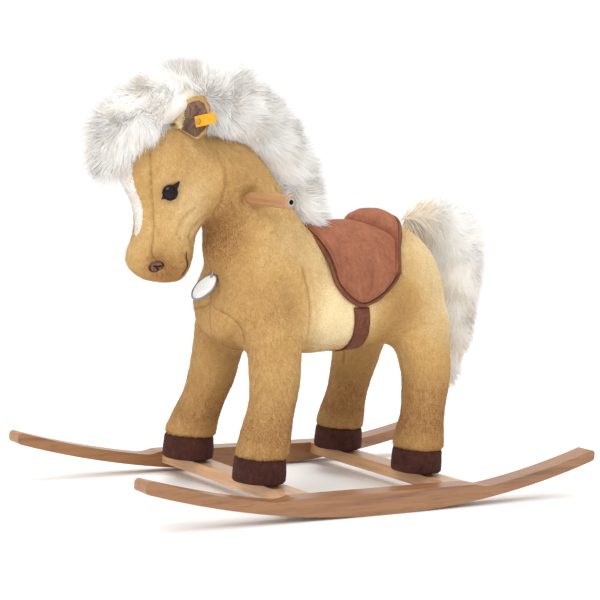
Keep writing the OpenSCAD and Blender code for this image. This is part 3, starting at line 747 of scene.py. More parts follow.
# Seams of the cover, as places near the surface: left ones, which are also mirrored
FACE_SEAM = [(34, -386, 590), (38, -378, 556), (38, -373, 514), (30, -362, 467), (30, -359, 425),
             (33, -362, 402), (38, -358, 390)]
CHEEK_CREASE = [(40, -300, 478), (42, -312, 456), (43, -320, 440), (42, -317, 424)]
JAW_CREASE = [(30, -268, 470), (38, -284, 452), (40, -296, 436), (38, -296, 420)]
JAW_FOLD = [(48, -262, 566), (54, -252, 546), (57, -247, 524), (53, -246, 502), (46, -248, 482),
            (34, -252, 464)]
MOUTH = [(36, -305, 363), (40, -298, 371), (42, -294, 380), (43, -298, 388), (44, -303, 396),
         (43, -303, 404)]
CHEST_SEAM = [(0, -226, 322), (16, -226, 312), (52, -220, 302), (64, -203, 284), (62, -190, 262)]
SHOULDER = [(98, -112, 388), (101, -104, 348), (97, -98, 310), (88, -100, 272), (66, -104, 244)]
BELLY_SEAM = [(74, -92, 268), (72, -60, 262), (68, 0, 257), (70, 50, 256), (74, 92, 246),
              (80, 118, 226), (84, 122, 200)]
RUMP_SEAM = [(0, 214, 420), (0, 232, 380), (0, 240, 330), (0, 234, 280), (0, 205, 254)]
NECK_SEAM = [(0, -196, 440), (0, -222, 392), (0, -228, 345), (0, -224, 300), (0, -190, 258),
             (0, -120, 242), (0, 0, 240), (0, 100, 244), (0, 200, 262)]
LEG_SEAMS = [[(104, -134, 100), (98, -128, 150), (88, -112, 220)],
             [(112, 188, 100), (108, 196, 160), (104, 206, 215), (92, 222, 270)]]


def snapped(path, tree):
    """The path as a smooth curve on the surface."""
    out = []
    for p in smooth_path(path):
        out.append(np.array(tree.find_nearest(Vector(p * MM))[0]) / MM)
    return np.array(out)


body = body_core()
modified(body, "REMESH", mode="VOXEL", voxel_size=5 * MM, use_smooth_shade=True)
rough_points = points_of(body.data)
rough_edges = edges_of(body.data)
holding = 1.0 - 0.75 * (rough_points[:, 2] < 96)
rough_points = relax(rough_points, rough_edges, 9, 0.5, holding)
move_to(body.data, rough_points)
upper = np.clip((rough_points[:, 2] - 215) / 40, 0, 1)
throat = bump_at(rough_points, (0, -262, 425), np.array([400, 40, 62]))
filled = np.clip(upper * (1 - 1.3 * throat), 0, 1)
move_to(body.data, relax(rough_points, rough_edges, 150, 0.5, filled, normals_of(body.data)))
rough_points = points_of(body.data)
mirror_points = np.abs(rough_points) * [1, 0, 0] + rough_points * [0, 1, 1]
even = (bump_at(mirror_points, (78, -140, 390), np.array([80, 110, 40]))
        + bump_at(mirror_points, (60, -272, 515), np.array([40, 34, 60]))
        + bump_at(mirror_points, (50, -285, 568), np.array([50, 40, 50])))
move_to(body.data, relax(rough_points, rough_edges, 40, 0.5, np.clip(even, 0, 1)))
modified(body, "SUBSURF", levels=1, render_levels=1)
body.name = "plush_body"

skin = points_of(body.data)
out = normals_of(body.data)
for side in (1, -1):
    place = skin * [side, 1, 1]
    push = (-3.4 * bump_at(place, (50, -342, 496), 15) + 3.0 * bump_at(place, (47, -340, 524), 19)
            + 3.0 * bump_at(place, (50, -318, 478), 22) + 3.5 * bump_at(place, (48, -285, 490), 34)
            + 4.5 * bump_at(place, (54, -264, 516), 26) + 7.0 * bump_at(place, (6, -214, 402), 30)
            - 7.5 * bump_at(place, NOSTRIL, 11) + 1.8 * bump_at(place, (36, -360, 392), 13)
            + 2.4 * bump_at(place, (20, -376, 384), 18) - 1.6 * bump_at(place, (12, -372, 424), 14)
            + 3.0 * bump_at(place, (84, -168, 330), 38) + 3.0 * bump_at(place, (88, 168, 320), 44))
    skin = skin + out * push[:, None]
shaft = np.hypot(skin[:, 1] - HANDLE[0], skin[:, 2] - HANDLE[1])
near_neck = (np.abs(skin[:, 0]) > 30) & (shaft < 60)
hollow = -6.0 * bell(shaft, 15) + 2.2 * bell(shaft - 24, 9)
skin = skin + out * (near_neck * hollow)[:, None]
skin = skin + out * (0.9 * swirl(skin, 34, 3) + 0.5 * swirl(skin, 15, 5))[:, None]
move_to(body.data, skin)
body_tree = tree_of(body.data)

CREASE_DEPTH = 1.7
CREASE_FROM, CREASE_TO = 1.5, 1.75  # a place with a depth in between is on a crease
seams, depths = [], []
for seam_depth, paths in (
        (2.4, mirrored(FACE_SEAM)), (2.0, mirrored(CHEST_SEAM)), (2.4, mirrored(SHOULDER)),
        (1.9, mirrored(BELLY_SEAM)), (CREASE_DEPTH, mirrored(CHEEK_CREASE)),
        (CREASE_DEPTH, mirrored(JAW_CREASE)), (CREASE_DEPTH, mirrored(JAW_FOLD)),
        (1.1, mirrored(LEG_SEAMS[0])), (1.1, mirrored(LEG_SEAMS[1])),
        (1.4, [RUMP_SEAM, NECK_SEAM]), (2.0, mirrored(MOUTH))):
    seams += [snapped(p, body_tree) for p in paths]
    depths += [seam_depth] * len(paths)
mouths = seams[-2:]
seam_points = np.vstack(seams)
seam_depth = np.concatenate([np.full(len(s), d) * np.minimum(1, np.minimum(
    np.arange(len(s)), np.arange(len(s))[::-1]) / 5 + 0.15) for s, d in zip(seams, depths)])
seam_tree = KDTree(len(seam_points))
for i, p in enumerate(seam_points):
    seam_tree.insert(p, i)
seam_tree.balance()


def seam_distance(points, far=14.0):
    """Distance to the nearest seam, and how deep that seam is."""
    low, high = seam_points.min(0) - far, seam_points.max(0) + far
    away = np.full(len(points), far)
    depth = np.zeros(len(points))
    for i in np.flatnonzero(((points > low) & (points < high)).all(1)):
        _, j, d = seam_tree.find(points[i])
        if d < far:
            away[i], depth[i] = d, seam_depth[j]
    return away, depth


out = normals_of(body.data)
away, depth = seam_distance(skin)
pucker = 1 + 0.25 * swirl(skin, 5, 21)
sewn = (depth > 0.2) & ((depth < CREASE_FROM) | (depth > CREASE_TO))
groove = depth * (-pucker * bell(away, np.where(sewn, 2.0, 5.0)) - 0.35 * bell(away, 6.0)
                  + 0.2 * bell(away - 7, 3.0))
skin = skin + out * groove[:, None]
move_to(body.data, skin)
write_attribute(body.data, "edge", np.clip(0.5 * bell(away, 1.6) * sewn, 0, 1))
link(body, "horse")
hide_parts("torso_cover", "torso_filling", "neck_cover", "neck_filling", "head_cover",
            "head_filling", "front_left_leg", "front_right_leg", "hind_left_leg",
            "hind_right_leg", "leg_fillings")
body_tree = tree_of(body.data)


def outside_body(points):
    """How far each point is outside the plush body, below 0 inside it."""
    result = np.empty(len(points))
    for i, p in enumerate(points):
        place, normal, _, d = body_tree.find_nearest(Vector(p * MM))
        inside = (Vector(p * MM) - place).dot(normal) < 0
        result[i] = -d / MM if inside else d / MM
    return result


# ------------------------------------------------------------------ short pile
def scatter(data, count, seed, weight=None):
    """Random places on a mesh, with their normals."""
    r = np.random.default_rng(seed)
    points, normals, tris = points_of(data), normals_of(data), triangles_of(data)
    a, b, c = (points[tris[:, k]] for k in range(3))
    area = np.linalg.norm(np.cross(b - a, c - a), axis=1)
    if weight is not None:
        area = area * weight((a + b + c) / 3)
    pick = r.choice(len(tris), count, p=area / area.sum())
    u, v = r.random((2, count))
    fold = u + v > 1
    u, v = np.where(fold, 1 - u, u), np.where(fold, 1 - v, v)
    w = 1 - u - v
    place = a[pick] * w[:, None] + b[pick] * u[:, None] + c[pick] * v[:, None]
    normal = sum(normals[tris[pick, k]] * s[:, None] for k, s in enumerate((w, u, v)))
    return place, unit(normal)


def ribbons(name, normals, centre, half_widths, tones, materials):
    """A mesh of tapered hairs. centre: hairs x steps x 3 in mm. half_widths: hairs x steps."""
    hairs, steps = centre.shape[:2]
    along = np.gradient(centre, axis=1)
    across = unit(np.cross(along, normals[:, None, :]))
    wide = across * half_widths[..., None]
    left, right, tip = centre[:, :-1] - wide[:, :-1], centre[:, :-1] + wide[:, :-1], centre[:, -1:]
    rows = np.stack([left, right], 2).reshape(hairs, -1, 3)
    points = np.concatenate([rows, tip], 1)
    size = points.shape[1]
    faces = [[2 * k, 2 * k + 1, 2 * k + 3, 2 * k + 2] for k in range(steps - 2)]
    faces.append([2 * steps - 4, 2 * steps - 3, 2 * steps - 2])
    order = np.concatenate([np.array(f) for f in faces])
    totals = np.array([len(f) for f in faces])
    loops = (np.arange(hairs)[:, None] * size + order[None, :]).ravel()
    sizes = np.tile(totals, hairs)
    data = bpy.data.meshes.new(name)
    data.vertices.add(hairs * size)
    data.vertices.foreach_set("co", (points * MM).astype(np.float32).ravel())
    data.loops.add(len(loops))
    data.loops.foreach_set("vertex_index", loops.astype(np.int32))
    data.polygons.add(len(sizes))
    starts = np.concatenate([[0], np.cumsum(sizes)[:-1]])
    data.polygons.foreach_set("loop_start", starts.astype(np.int32))
    for m in materials:
        data.materials.append(m)
    data.polygons.foreach_set("material_index", np.repeat(tones, len(totals)).astype(np.int32))
    data.update(calc_edges=True)
    data.validate()
    data.polygons.foreach_set("use_smooth", np.ones(len(data.polygons), bool))
    soft = np.repeat(normals, size, 0).astype(np.float32)
    data.normals_split_custom_set_from_vertices(soft)
    return bpy.data.objects.new(name, data)


def tangent(direction, normals):
    return unit(direction - normals * (direction * normals).sum(-1, keepdims=True))


def pile(name, place, normal, comb, body_name, materials, length, wide, lean, tone, seed):
    """Short hairs: each is a bent triangle that lies along the comb's direction."""
    r = np.random.default_rng(seed)
    n = len(place)
    flow = tangent(comb + 0.35 * r.normal(size=(n, 3)), normal)
    rise = lean * (0.75 + 0.5 * r.random(n))[:, None]
    along = unit(normal * rise + flow * np.sqrt(np.clip(1 - rise**2, 0.05, 1)))
    size = (np.broadcast_to(length, n) * (0.7 + 0.5 * r.random(n)))[:, None]
    start = place - normal * 0.5
    middle = start + along * size * 0.55 + normal * size * 0.08
    tip = start + along * size
    centre = np.stack([start, middle, tip], 1)
    half = wide / 2 * np.stack([np.ones(n), np.full(n, 0.75), np.zeros(n)], 1)
    last = len(materials) - 1
    index = np.clip(np.round(last * (0.5 + 0.5 * tone) + 0.6 * r.normal(size=n)), 0, last)
    made = ribbons(name, normal, centre, half, index, materials)
    link(made, body_name)
    return made


def outline(heights, places):
    """An edge of the saddle: its y as a function of the height."""
    return lambda z: np.interp(z, heights, places)


pad_front = outline([327, 331, 338, 345, 356, 366, 405, 440, 470],
                    [-4, -17, -28, -36, -47, -54, -61, -71, -75])
pad_back = outline([327, 331, 338, 345, 358, 370, 376, 402, 420, 436, 448, 458],
                   [6, 22, 36, 48, 62, 73, 81, 86, 93, 106, 119, 127])
girth_middle = outline([230, 250, 265, 290, 325], [42, 28, 18, 9, 1])
flap_front = outline([334, 338, 345, 354, 366, 405, 440, 470],
                     [-2, -12, -24, -35, -47, -54, -64, -68])
FLAP_BACK = ([334, 337, 341, 351, 374, 404, 418, 430, 440, 448, 456],
             [6, 15, 25, 43, 67, 77, 84, 91, 85, 72, 50])
flap_back = outline(*FLAP_BACK)
cantle_inner = outline(FLAP_BACK[0], [y + 0.5 for y in FLAP_BACK[1]])
cantle_outer = outline([376, 402, 420, 436, 448, 458], [77, 81.5, 88, 100, 113, 121])


def under_saddle(p, spare=0.0):
    """True for places on the torso that the saddle or its girth covers."""
    pad = ((p[:, 2] > 326 + spare) & (p[:, 1] > pad_front(p[:, 2]) + spare)
           & (p[:, 1] < pad_back(p[:, 2]) - spare))
    strap = (p[:, 2] < 334) & (np.abs(p[:, 1] - girth_middle(p[:, 2])) < 17 - spare)
    return (pad | strap) & (np.hypot(p[:, 0], p[:, 2] - 345) > 70)


def in_blaze(p, spare=0.0):
    """True on the white stripe down the front of the face."""
    middle = 2.5
    half = np.interp(p[:, 2], [426, 432, 470, 520, 552, 620], [0, 7.5, 13, 20, 26, 30])
    return ((np.abs(p[:, 0] - middle) < half - spare) & (p[:, 1] < -335) & (p[:, 2] > 426 + spare)
            & (p[:, 2] < 620))


def comb_of(p):
    """The way the nap lies: down the face, back and down along the body."""
    flow = np.tile([0.0, 0.35, -0.9], (len(p), 1))
    head = np.clip((-p[:, 1] - 250) / 40, 0, 1) * np.clip((p[:, 2] - 330) / 20, 0, 1)
    face = np.tile([0.0, -0.35, -0.95], (len(p), 1))
    muzzle = np.clip((400 - p[:, 2]) / 30, 0, 1) * head
    flow = flow * (1 - head)[:, None] + face * head[:, None]
    flow[:, 1] += 0.9 * muzzle
    return flow + 0.35 * swirl_vector(p, 60, 40)


TONE_AND_PAINTED_LIGHT_SPOTS = (
    # strength, middle and reach of each lighter (+) or darker (-) place of the near side: painted
    # light over the lit flank, rump, cheek and neck, painted shade under the jaw, down the throat and
    # chest, behind the shoulder and girth, round the muzzle and nostril and under the mane, and a
    # lighter front to the muzzle
    (1.35, (100, -40, 305), (60, 66, 74)), (0.9, (60, 190, 395), (110, 85, 62)),
    (0.6, (60, 215, 300), (80, 40, 60)), (0.35, (90, -75, 430), (60, 55, 50)),
    (0.14, (45, -330, 520), (60, 80, 70)), (0.18, (75, -170, 420), (60, 60, 60)),
    (0.42, (45, -290, 460), (60, 45, 50)), (0.25, (100, 150, 300), (50, 40, 40)),
    (-0.45, (100, 92, 325), (60, 36, 55)), (-0.4, (45, -232, 415), (60, 34, 50)),
    (-0.6, (30, -240, 460), (50, 36, 60)), (-0.25, (50, -200, 330), (60, 40, 60)),
    (-0.35, (95, -140, 330), (40, 60, 60)), (-0.2, (25, -370, 382), (60, 40, 40)),
    (-0.35, (46, -335, 372), (40, 30, 34)), (0.3, (12, -385, 392), (30, 40, 34)),
    (-0.3, (66, -216, 500), (34, 30, 60)), (-0.35, (30, -310, 368), (60, 50, 36)),
    (-0.7, (39, -357, 387), (18, 20, 18)), (-0.4, (20, -255, 600), (60, 34, 34)),
)


def tan_tone_and_painted_light(p, n):
    """Painted light over the flank and rump, painted shade under the jaw, on the muzzle and down the
    legs, over a tone that varies at random.
    """
    p = p * np.where(p[:, :1] < 0, [-1, 1, 1], [1, 1, 1])
    tone = 0.07 * swirl(p, 60, 61) + 0.05 * swirl(p, 20, 67) + 0.05 * swirl(p, 7, 71) - 0.08
    for strength, middle, reach in TONE_AND_PAINTED_LIGHT_SPOTS:
        tone = tone + strength * bump_at(p, middle, np.array(reach))
    # Painted shade on the legs: darker lower down and on the front and hind legs, lighter again just
    # above the hooves.
    low = 0.40 * np.clip((116 - p[:, 2]) / 26, 0, 1) - 0.48 * np.clip((215 - p[:, 2]) / 90, 0, 1)
    front = -0.22 * np.clip((290 - p[:, 2]) / 40, 0, 1) * (p[:, 1] < -60)
    hind = -0.30 * np.clip((p[:, 1] - 60) / 40, 0, 1) * np.clip((255 - p[:, 2]) / 70, 0, 1)
    # Painted light from above: faces that look up are painted lighter.
    return np.clip(tone + low + front + hind + 0.12 * n[:, 2], -1, 1)


# The shade attribute holds this tone with its painted light and shade, for the plush ground.
write_attribute(body.data, "shade", np.clip(0.5 + 0.5 * tan_tone_and_painted_light(skin, normals_of(body.data)), 0, 1))
hair_count = 330000
place, normal = scatter(body.data, hair_count, 31)
near, deep = seam_distance(place, 6.0)
shaft = np.hypot(place[:, 1] - HANDLE[0], place[:, 2] - HANDLE[1])
hoof_top = 84
keep = ~under_saddle(place, 2.0) & ~((near < 0.8) & (deep > CREASE_TO)) & (place[:, 2] > hoof_top)
keep &= ~((shaft < 12.5) & (np.abs(place[:, 0]) > 30)) & ~in_blaze(place, -0.5)
near_side = np.abs(place) * [1, 0, 0] + place * [0, 1, 1]
for bare, radius in ((NOSTRIL, 10.5), ((50, -344, 496), 11)):  # the nostrils and the eyes
    keep &= np.linalg.norm(near_side - bare, axis=1) >= radius
place, normal, near, deep = place[keep], normal[keep], near[keep], deep[keep]
crease = (deep > CREASE_FROM) & (deep < CREASE_TO)
cuff = np.clip((104 - place[:, 2]) / 16, 0, 1)
size = (3.7 + 1.6 * cuff) * np.where(crease, 1.0, np.clip(0.55 + near / 8, 0, 1))
# Painted shade: hairs by a crease are painted darker; hairs by a seam are darker along the seam line.
tone = tan_tone_and_painted_light(place, normal) - np.where(crease, 0.2 * bell(near, 5.0), 0.45 * bell(near, 2.6))
half_way = len(place) // 2
for i, part in enumerate((slice(0, half_way), slice(half_way, None))):
    made = pile(f"plush_pile_{i}", place[part], normal[part], comb_of(place[part]), "horse",
                TAN, size[part], 0.8, 0.40, tone[part], 50 + i)

place, normal = scatter(body.data, 160000, 77,
                        lambda p: in_blaze(p, -1.0) * 1.0 + 1e-9)
keep = np.flatnonzero(in_blaze(place))[:14000]
place, normal = place[keep], normal[keep]
blaze_pile = pile("blaze_plush", place, normal, comb_of(place), "horse", WHITE,
                  4.6, 0.8, 0.42, 0.3 + 0.3 * swirl(place, 20, 9), 78)
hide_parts("blaze")


# ------------------------------------------------------------------ mane, forelock and tail
def ear_matrix(side):
    place = Matrix.Translation(Vector((52, -322, 588)) * MM)
    turned = Matrix.Rotation(math.radians(28), 4, "Z") @ Matrix.Rotation(math.radians(24), 4, "Y")
    mirror = Matrix.Diagonal((side, 1, 1, 1))
    return mirror @ place @ turned


def placed(points, matrix):
    m = np.array(matrix)
    return (np.asarray(points) @ m[:3, :3].T) + m[:3, 3] / MM


def crosses_ear(curve):
    """True for hairs that pass through an ear's place or in front of its hollow."""
    hit = np.zeros(len(curve), bool)
    for side in (1, -1):
        local = placed(curve.reshape(-1, 3), ear_matrix(side).inverted()).reshape(len(curve), -1, 3)
        hit |= ((np.abs(local[..., 0]) < 34) & (local[..., 1] > -34) & (local[..., 1] < 10)
                & (local[..., 2] > -6) & (local[..., 2] < 66)).any(1)
    return hit


def strands(name, place, normal, aim, bend, length, body_name, seed, tone):
    """Long hairs in tufts. aim: the way each sets off, bend: the way it curves to. Hairs that
    would cross an ear lie short, or are left out."""
    wide, tuft, hold = 1.05, 12.0, 0.4
    r = np.random.default_rng(seed)
    n = len(place)
    s = np.array([0, 0.28, 0.55, 0.8, 1.0])
    own = unit(aim + 0.20 * r.normal(size=(n, 3)))
    size = np.broadcast_to(length, n) * (0.7 + 0.45 * r.random(n))
    curve = place[:, None] + size[:, None, None] * (
        s[None, :, None] * own[:, None] + (s**2)[None, :, None] * bend[:, None])
    leaders = r.choice(n, max(int(n * 0.012), 8), replace=False)
    tree = KDTree(len(leaders))
    for i, k in enumerate(leaders):
        tree.insert(place[k] + swirl_vector(place[k:k + 1], 9, seed)[0] * 2, i)
    tree.balance()
    lead = np.array([leaders[tree.find(p)[1]] for p in place])
    gap_to = np.linalg.norm(place - place[lead], axis=1)
    share = hold * bell(gap_to, tuft)[:, None, None] * (s**1.6)[None, :, None]
    curve = curve * (1 - share) + curve[lead] * share
    wave = r.uniform(0, TURN, (n, 1)) + s[None] * r.uniform(2, 5, (n, 1))
    curl = np.cross(own, unit(r.normal(size=(n, 3))))
    curve += (np.sin(wave) - np.sin(wave[:, :1]))[..., None] * curl[:, None] * 1.1
    half = wide / 2 * (1 - s**1.5)[None] * (0.75 + 0.5 * r.random((n, 1)))
    facing = unit(normal + 0.25 * r.normal(size=(n, 3)))
    index = np.clip(np.round(4.2 + 1.1 * tone + 0.8 * r.normal(size=n)), 0, len(HAIR) - 1)
    free = ~crosses_ear(curve)
    curve[~free] = place[~free, None] + 0.38 * (curve[~free] - place[~free, None])
    free |= ~crosses_ear(curve)
    made = ribbons(name, facing[free], curve[free], half[free], index[free], HAIR)
    return link(made, body_name)


def hair_base(name, stations, grow, caps):
    """The fur's ground under the long hairs."""
    base = loft(name, stations, 40, 48, caps, grow)
    base.data.materials.append(hair_ground)
    outward(base)
    push_out(base.data, 2 * swirl(points_of(base.data), 22, 5))
    return base


def crown(place):
    """Extra length where the mane meets the forelock, over the ears."""
    return 7 * bell(place[:, 1] + 240, 40)


def wander(place, normal, size, seed):
    """Smooth random lean of the hairs that never presses them into their ground."""
    lean = size * swirl_vector(place, 26, seed)
    return lean + normal * np.clip(-(lean * normal).sum(1, keepdims=True), 0, None)


HAIR_LENGTH = 28.0


def mane_way(place, normal):
    """The flow, length and tone of the hairs. The mane falls back and to both sides."""
    flow = np.tile([0.0, 0.6, -0.2], (len(place), 1))
    flow[:, 0] += 0.3 * np.sign(place[:, 0]) * np.clip(np.abs(place[:, 0]) / 40, 0, 1)
    flow *= np.clip((place[:, 1] + 245) / 70, 0, 1)[:, None]
    return flow, HAIR_LENGTH + crown(place), swirl(place, 18, 55)


def forelock_way(place, normal):
    """Forward over the brow, then down."""
    front = np.clip((-place[:, 1] - 330) / 60, 0, 1)[:, None]
    flow = np.array([-0.15, -0.5, -0.2]) * (1 - front) + np.array([-0.15, -0.25, -0.9]) * front
    flow *= np.clip((-235 - place[:, 1]) / 70, 0.0, 1)[:, None]
    return flow, HAIR_LENGTH + crown(place), swirl(place, 18, 56)


def tail_way(place, normal):
    """Back over the dock, then straight down, longer underneath, with painted shade making the hairs
    darker towards the rump and low down.
    """
    down = np.clip((450 - place[:, 2]) / 60, 0, 1)
    under = np.clip(-normal[:, 2] * 2, 0, 1) * (1 - down)
    down = np.maximum(down, under)[:, None]
    flow = np.array([0, 0.75, 0.2]) * (1 - down) + np.array([0, 0.15, -1.0]) * down
    # Painted shade: hairs towards the rump and low on the tail are painted darker.
    painted_shade_tint = (-3.0 * np.clip((250 - place[:, 1]) / 60, 0, 1)
                 - 1.5 * np.clip((430 - place[:, 2]) / 80, 0, 1))
    return flow, HAIR_LENGTH + 26 * under, 0.8 * swirl(place, 18, 57) + painted_shade_tint


# node, body, stations, growth and round ends of the ground, number of hairs, first seed, the
# least height of a root over the body, way, then how much the hairs stand, flow, bend and wander
for node, body_name, stations, grow, caps, count, seed, floor, way, stand, sweep, bend, lean in (
        ("mane", "horse", MANE, -15, (0.12, 0), 36000, 101, 1.0, mane_way, 0.8, 0.5, 0.28, 0.5),
        ("forelock", "horse", FORELOCK, -15, (0, 0.2), 34000, 111, -3.0, forelock_way, 0.8, 0.5, 0.3,
         0.5),
        ("tail", "tail", TAIL, -18, (0.1, 0), 34000, 121, None, tail_way, 0.6, 0.75, 0.25, 0.42)):
    base = link(hair_base(f"{node}_ground", stations, grow, caps), body_name)
    place, normal = scatter(base.data, int(count * (1.0)), seed)
    if floor is not None:
        keep = outside_body(place) > floor
        place, normal = place[keep], normal[keep]
    flow, length, tone = way(place, normal)
    drift = wander(place, normal, lean, seed + 99)
    hair = strands(f"{node}_hair", place, normal, normal * stand + sweep * flow + drift,
                   bend * flow + 0.15 * drift, length, body_name, seed + 1, tone)
    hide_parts(node)


# ------------------------------------------------------------------ saddle
def saddle_grid(front, back, low, columns, rows, turn):
    """y and angle of a patch over the back, from the left tip to the right one.
    front, back: the patch's two edges as functions of the height. turn: its lowest angle."""
    angle = np.linspace(turn, math.pi - turn, columns)
    edges = []
    for edge in (front, back):
        y = np.zeros(columns)
        for _ in range(8):
            z = torso_points(y, angle, 6)[:, 2]
            y = edge(np.maximum(z, low))
        for _ in range(6):
            y[1:-1] = (y[:-2] + 2 * y[1:-1] + y[2:]) / 4
        edges.append(y)
    v = np.linspace(0, 1, rows)
    y = edges[0][:, None] * (1 - v) + edges[1][:, None] * v
    return y, np.repeat(angle[:, None], rows, 1)


def walked(points):
    """The way from a sheet's first column to each point, along its row."""
    step = np.linalg.norm(np.diff(points, axis=1), axis=2)
    return np.cumsum(np.concatenate([np.zeros((len(points), 1)), step], 1), 1)


def sheet_over(name, y, angle, bottom, top, materials, lift=0.0, roll=5.0, level=0.5):
    """A closed padded sheet over the torso. Its two faces meet at the rim, level of the way up."""
    columns, rows = y.shape
    flat = (y.ravel(), angle.ravel())
    under = torso_points(*flat, bottom, 0)
    over = torso_points(*flat, top, lift)
    middle = (under + over).reshape(columns, rows, 3) / 2
    rim_v = np.minimum(walked(middle), walked(middle[:, ::-1])[:, ::-1])
    step = np.linalg.norm(np.diff(middle[:, rows // 2], axis=0), axis=1)
    along = np.concatenate([[0], np.cumsum(step)])
    to_rim = np.minimum(rim_v, np.minimum(along, along[::-1])[:, None]).ravel()
    share = round_end(to_rim, roll)[:, None]
    meet = under + (over - under) * level
    over = meet + (over - meet) * share
    under = meet + (under - meet) * share
    made = mesh_from(name, np.vstack([over, under]), shell_faces(columns, rows), materials)
    write_attribute(made.data, "edge", np.tile(bell(to_rim, 4) * 0.7, 2))
    return made, np.tile(to_rim, 2)


def puff(ob, rim, pressure, cap):
    """Blows the piece up as cloth with its rim and underside pinned, then keeps the result.
    cap: the furthest that a point may move, in mm."""
    frames = 20
    count = len(ob.data.vertices)
    before = points_of(ob.data)
    group = ob.vertex_groups.new(name="pin")
    for i in range(count):
        if i >= count // 2 or rim[i] < 5:
            group.add([i], 1.0, "REPLACE")
    cloth_modifier = ob.modifiers.new("cloth", "CLOTH")
    settings = cloth_modifier.settings
    settings.vertex_group_mass = "pin"
    settings.use_pressure = True
    settings.uniform_pressure_force = pressure
    settings.quality = 5
    settings.mass = 0.3
    settings.tension_stiffness = 25
    settings.compression_stiffness = 25
    settings.shear_stiffness = 8
    settings.bending_stiffness = 0.8
    settings.effector_weights.gravity = 0
    settings.shrink_min = -0.015
    cloth_modifier.point_cache.frame_start = 1
    cloth_modifier.point_cache.frame_end = frames
    for number in range(1, frames + 1):
        bpy.context.scene.frame_set(number)
    graph = bpy.context.evaluated_depsgraph_get()
    after = points_of(ob.evaluated_get(graph).data)
    ob.modifiers.clear()
    ob.vertex_groups.clear()
    bpy.context.scene.frame_set(1)
    moved = after - before
    far = np.linalg.norm(moved, axis=1, keepdims=True)
    moved *= np.minimum(1, cap / np.maximum(far, 1e-6))
    move_to(ob.data, before + moved)


def piping(name, y, angle, grow, radius, material, lift=0.0):
    """A rolled edge along the long sides and round the ends of a patch."""
    both = np.stack([y, angle], -1)
    border = np.concatenate([both[:, 0], both[-1, 1:], both[-2::-1, -1], both[0, -2:0:-1]])
    path = torso_points(border[:, 0], border[:, 1], grow, lift)
    length = np.concatenate([[0], np.cumsum(np.linalg.norm(np.diff(path, axis=0), axis=1))])
    even = np.linspace(0, length[-1], int(length[-1] / 3))[:-1]
    path = np.stack([np.interp(even, length, path[:, k]) for k in range(3)], 1)
    for _ in range(3):
        path = (np.roll(path, 1, 0) + 2 * path + np.roll(path, -1, 0)) / 4
    made = tube_piece(name, path, radius, 12, material, True, 0.07, 5, 0.25)
    return link(made, "horse")


LOW_TURN = math.radians(-9)
pad_y, pad_angle = saddle_grid(pad_front, pad_back, 327, 150, 40, LOW_TURN)
pad, _ = sheet_over("saddle_pad_suede", pad_y, pad_angle, 0.6, 5.0, [pad_hide], 1.0, 4.0)
pad = link(outward(pad), "horse")
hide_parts("saddle_pad")
piping("saddle_pad_roll", pad_y, pad_angle, 4.6, 3.0, pad_hide)

flap_y, flap_angle = saddle_grid(flap_front, flap_back, 334, 170, 52, math.radians(-5))
seat, rim = sheet_over("saddle_seat_and_flaps", flap_y, flap_angle, 5.6, 11.0, [saddle_hide],
                       3.0, 5.0)
puff(seat, rim, 5.0, 3.5)
where = points_of(seat.data)
tip = np.stack([where[:, 1] - 3, where[:, 2] - 328], 1)
reach = np.hypot(tip[:, 0], tip[:, 1])
spread = np.arctan2(tip[:, 0], tip[:, 1])
upper = np.arange(len(where)) < len(where) // 2
gather = 1.3 * np.sin(spread * 11 + 0.8 * np.sin(reach / 9))
gather = gather * bell(reach, 30) * np.clip(reach / 10, 0, 1)
crease = 0.9 * np.sin(where[:, 0] / 5.5 + np.sin(where[:, 1] / 11))
crease = crease * bump_at(where, (0, -34, 456), (60, 22, 30))
dimple = 0.5 * swirl(where, 26, 91)
push_out(seat.data, (gather + crease + dimple) * upper * np.clip(rim / 6, 0, 1))
seat = link(outward(seat), "horse")
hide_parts("saddle_seat", "left_saddle_flap", "right_saddle_flap")
piping("saddle_flap_edge", flap_y, flap_angle, 8.2, 2.0, saddle_hide, 1.6)

cantle_y, cantle_angle = saddle_grid(cantle_inner, cantle_outer, 376, 150, 40, math.radians(16))
v = np.linspace(0, 1, 40)
rise = np.tile(np.interp(v, [0, 0.2, 0.45, 0.75, 1], [5, 14, 19, 19, 11]), 150)
cantle, rim = sheet_over("saddle_cantle_roll", cantle_y, cantle_angle, 5.2, 11.0, [saddle_hide],
                         rise, 9.0, 0.1)
puff(cantle, rim, 4.0, 3.0)
across = np.tile(v, 150 * 2)
upper = np.arange(len(across)) < len(across) // 2
push_out(cantle.data, -2.2 * bell(across - 0.7, 0.05) * upper)
cantle = link(outward(cantle), "horse")
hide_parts("saddle_cantle")
rear = torso_points(cantle_y[:, -1] + 2, cantle_angle[:, -1], 7.5, 10)
roll = tube_piece("saddle_cantle_edge", rear, 3.6, 12, pad_hide, False, 0.06, 8, 0.2)
link(roll, "horse")

girth_angle = np.linspace(math.pi - math.radians(-11), TURN + math.radians(-11), 120)
v = np.linspace(0, 1, 18)
girth_z = torso_points(np.full(120, 10.0), girth_angle)[:, 2]
girth_wide = 34 + 1.2 * np.sin(girth_angle * 5)[:, None]
girth_y = girth_middle(girth_z)[:, None] + (v[None] - 0.5) * girth_wide
girth, _ = sheet_over("girth_strap_suede", girth_y, np.repeat(girth_angle[:, None], 18, 1), 0.5, 3.4,
                      [girth_hide], 0.0, 3.0)
girth = link(outward(girth), "horse")
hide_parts("girth_strap")


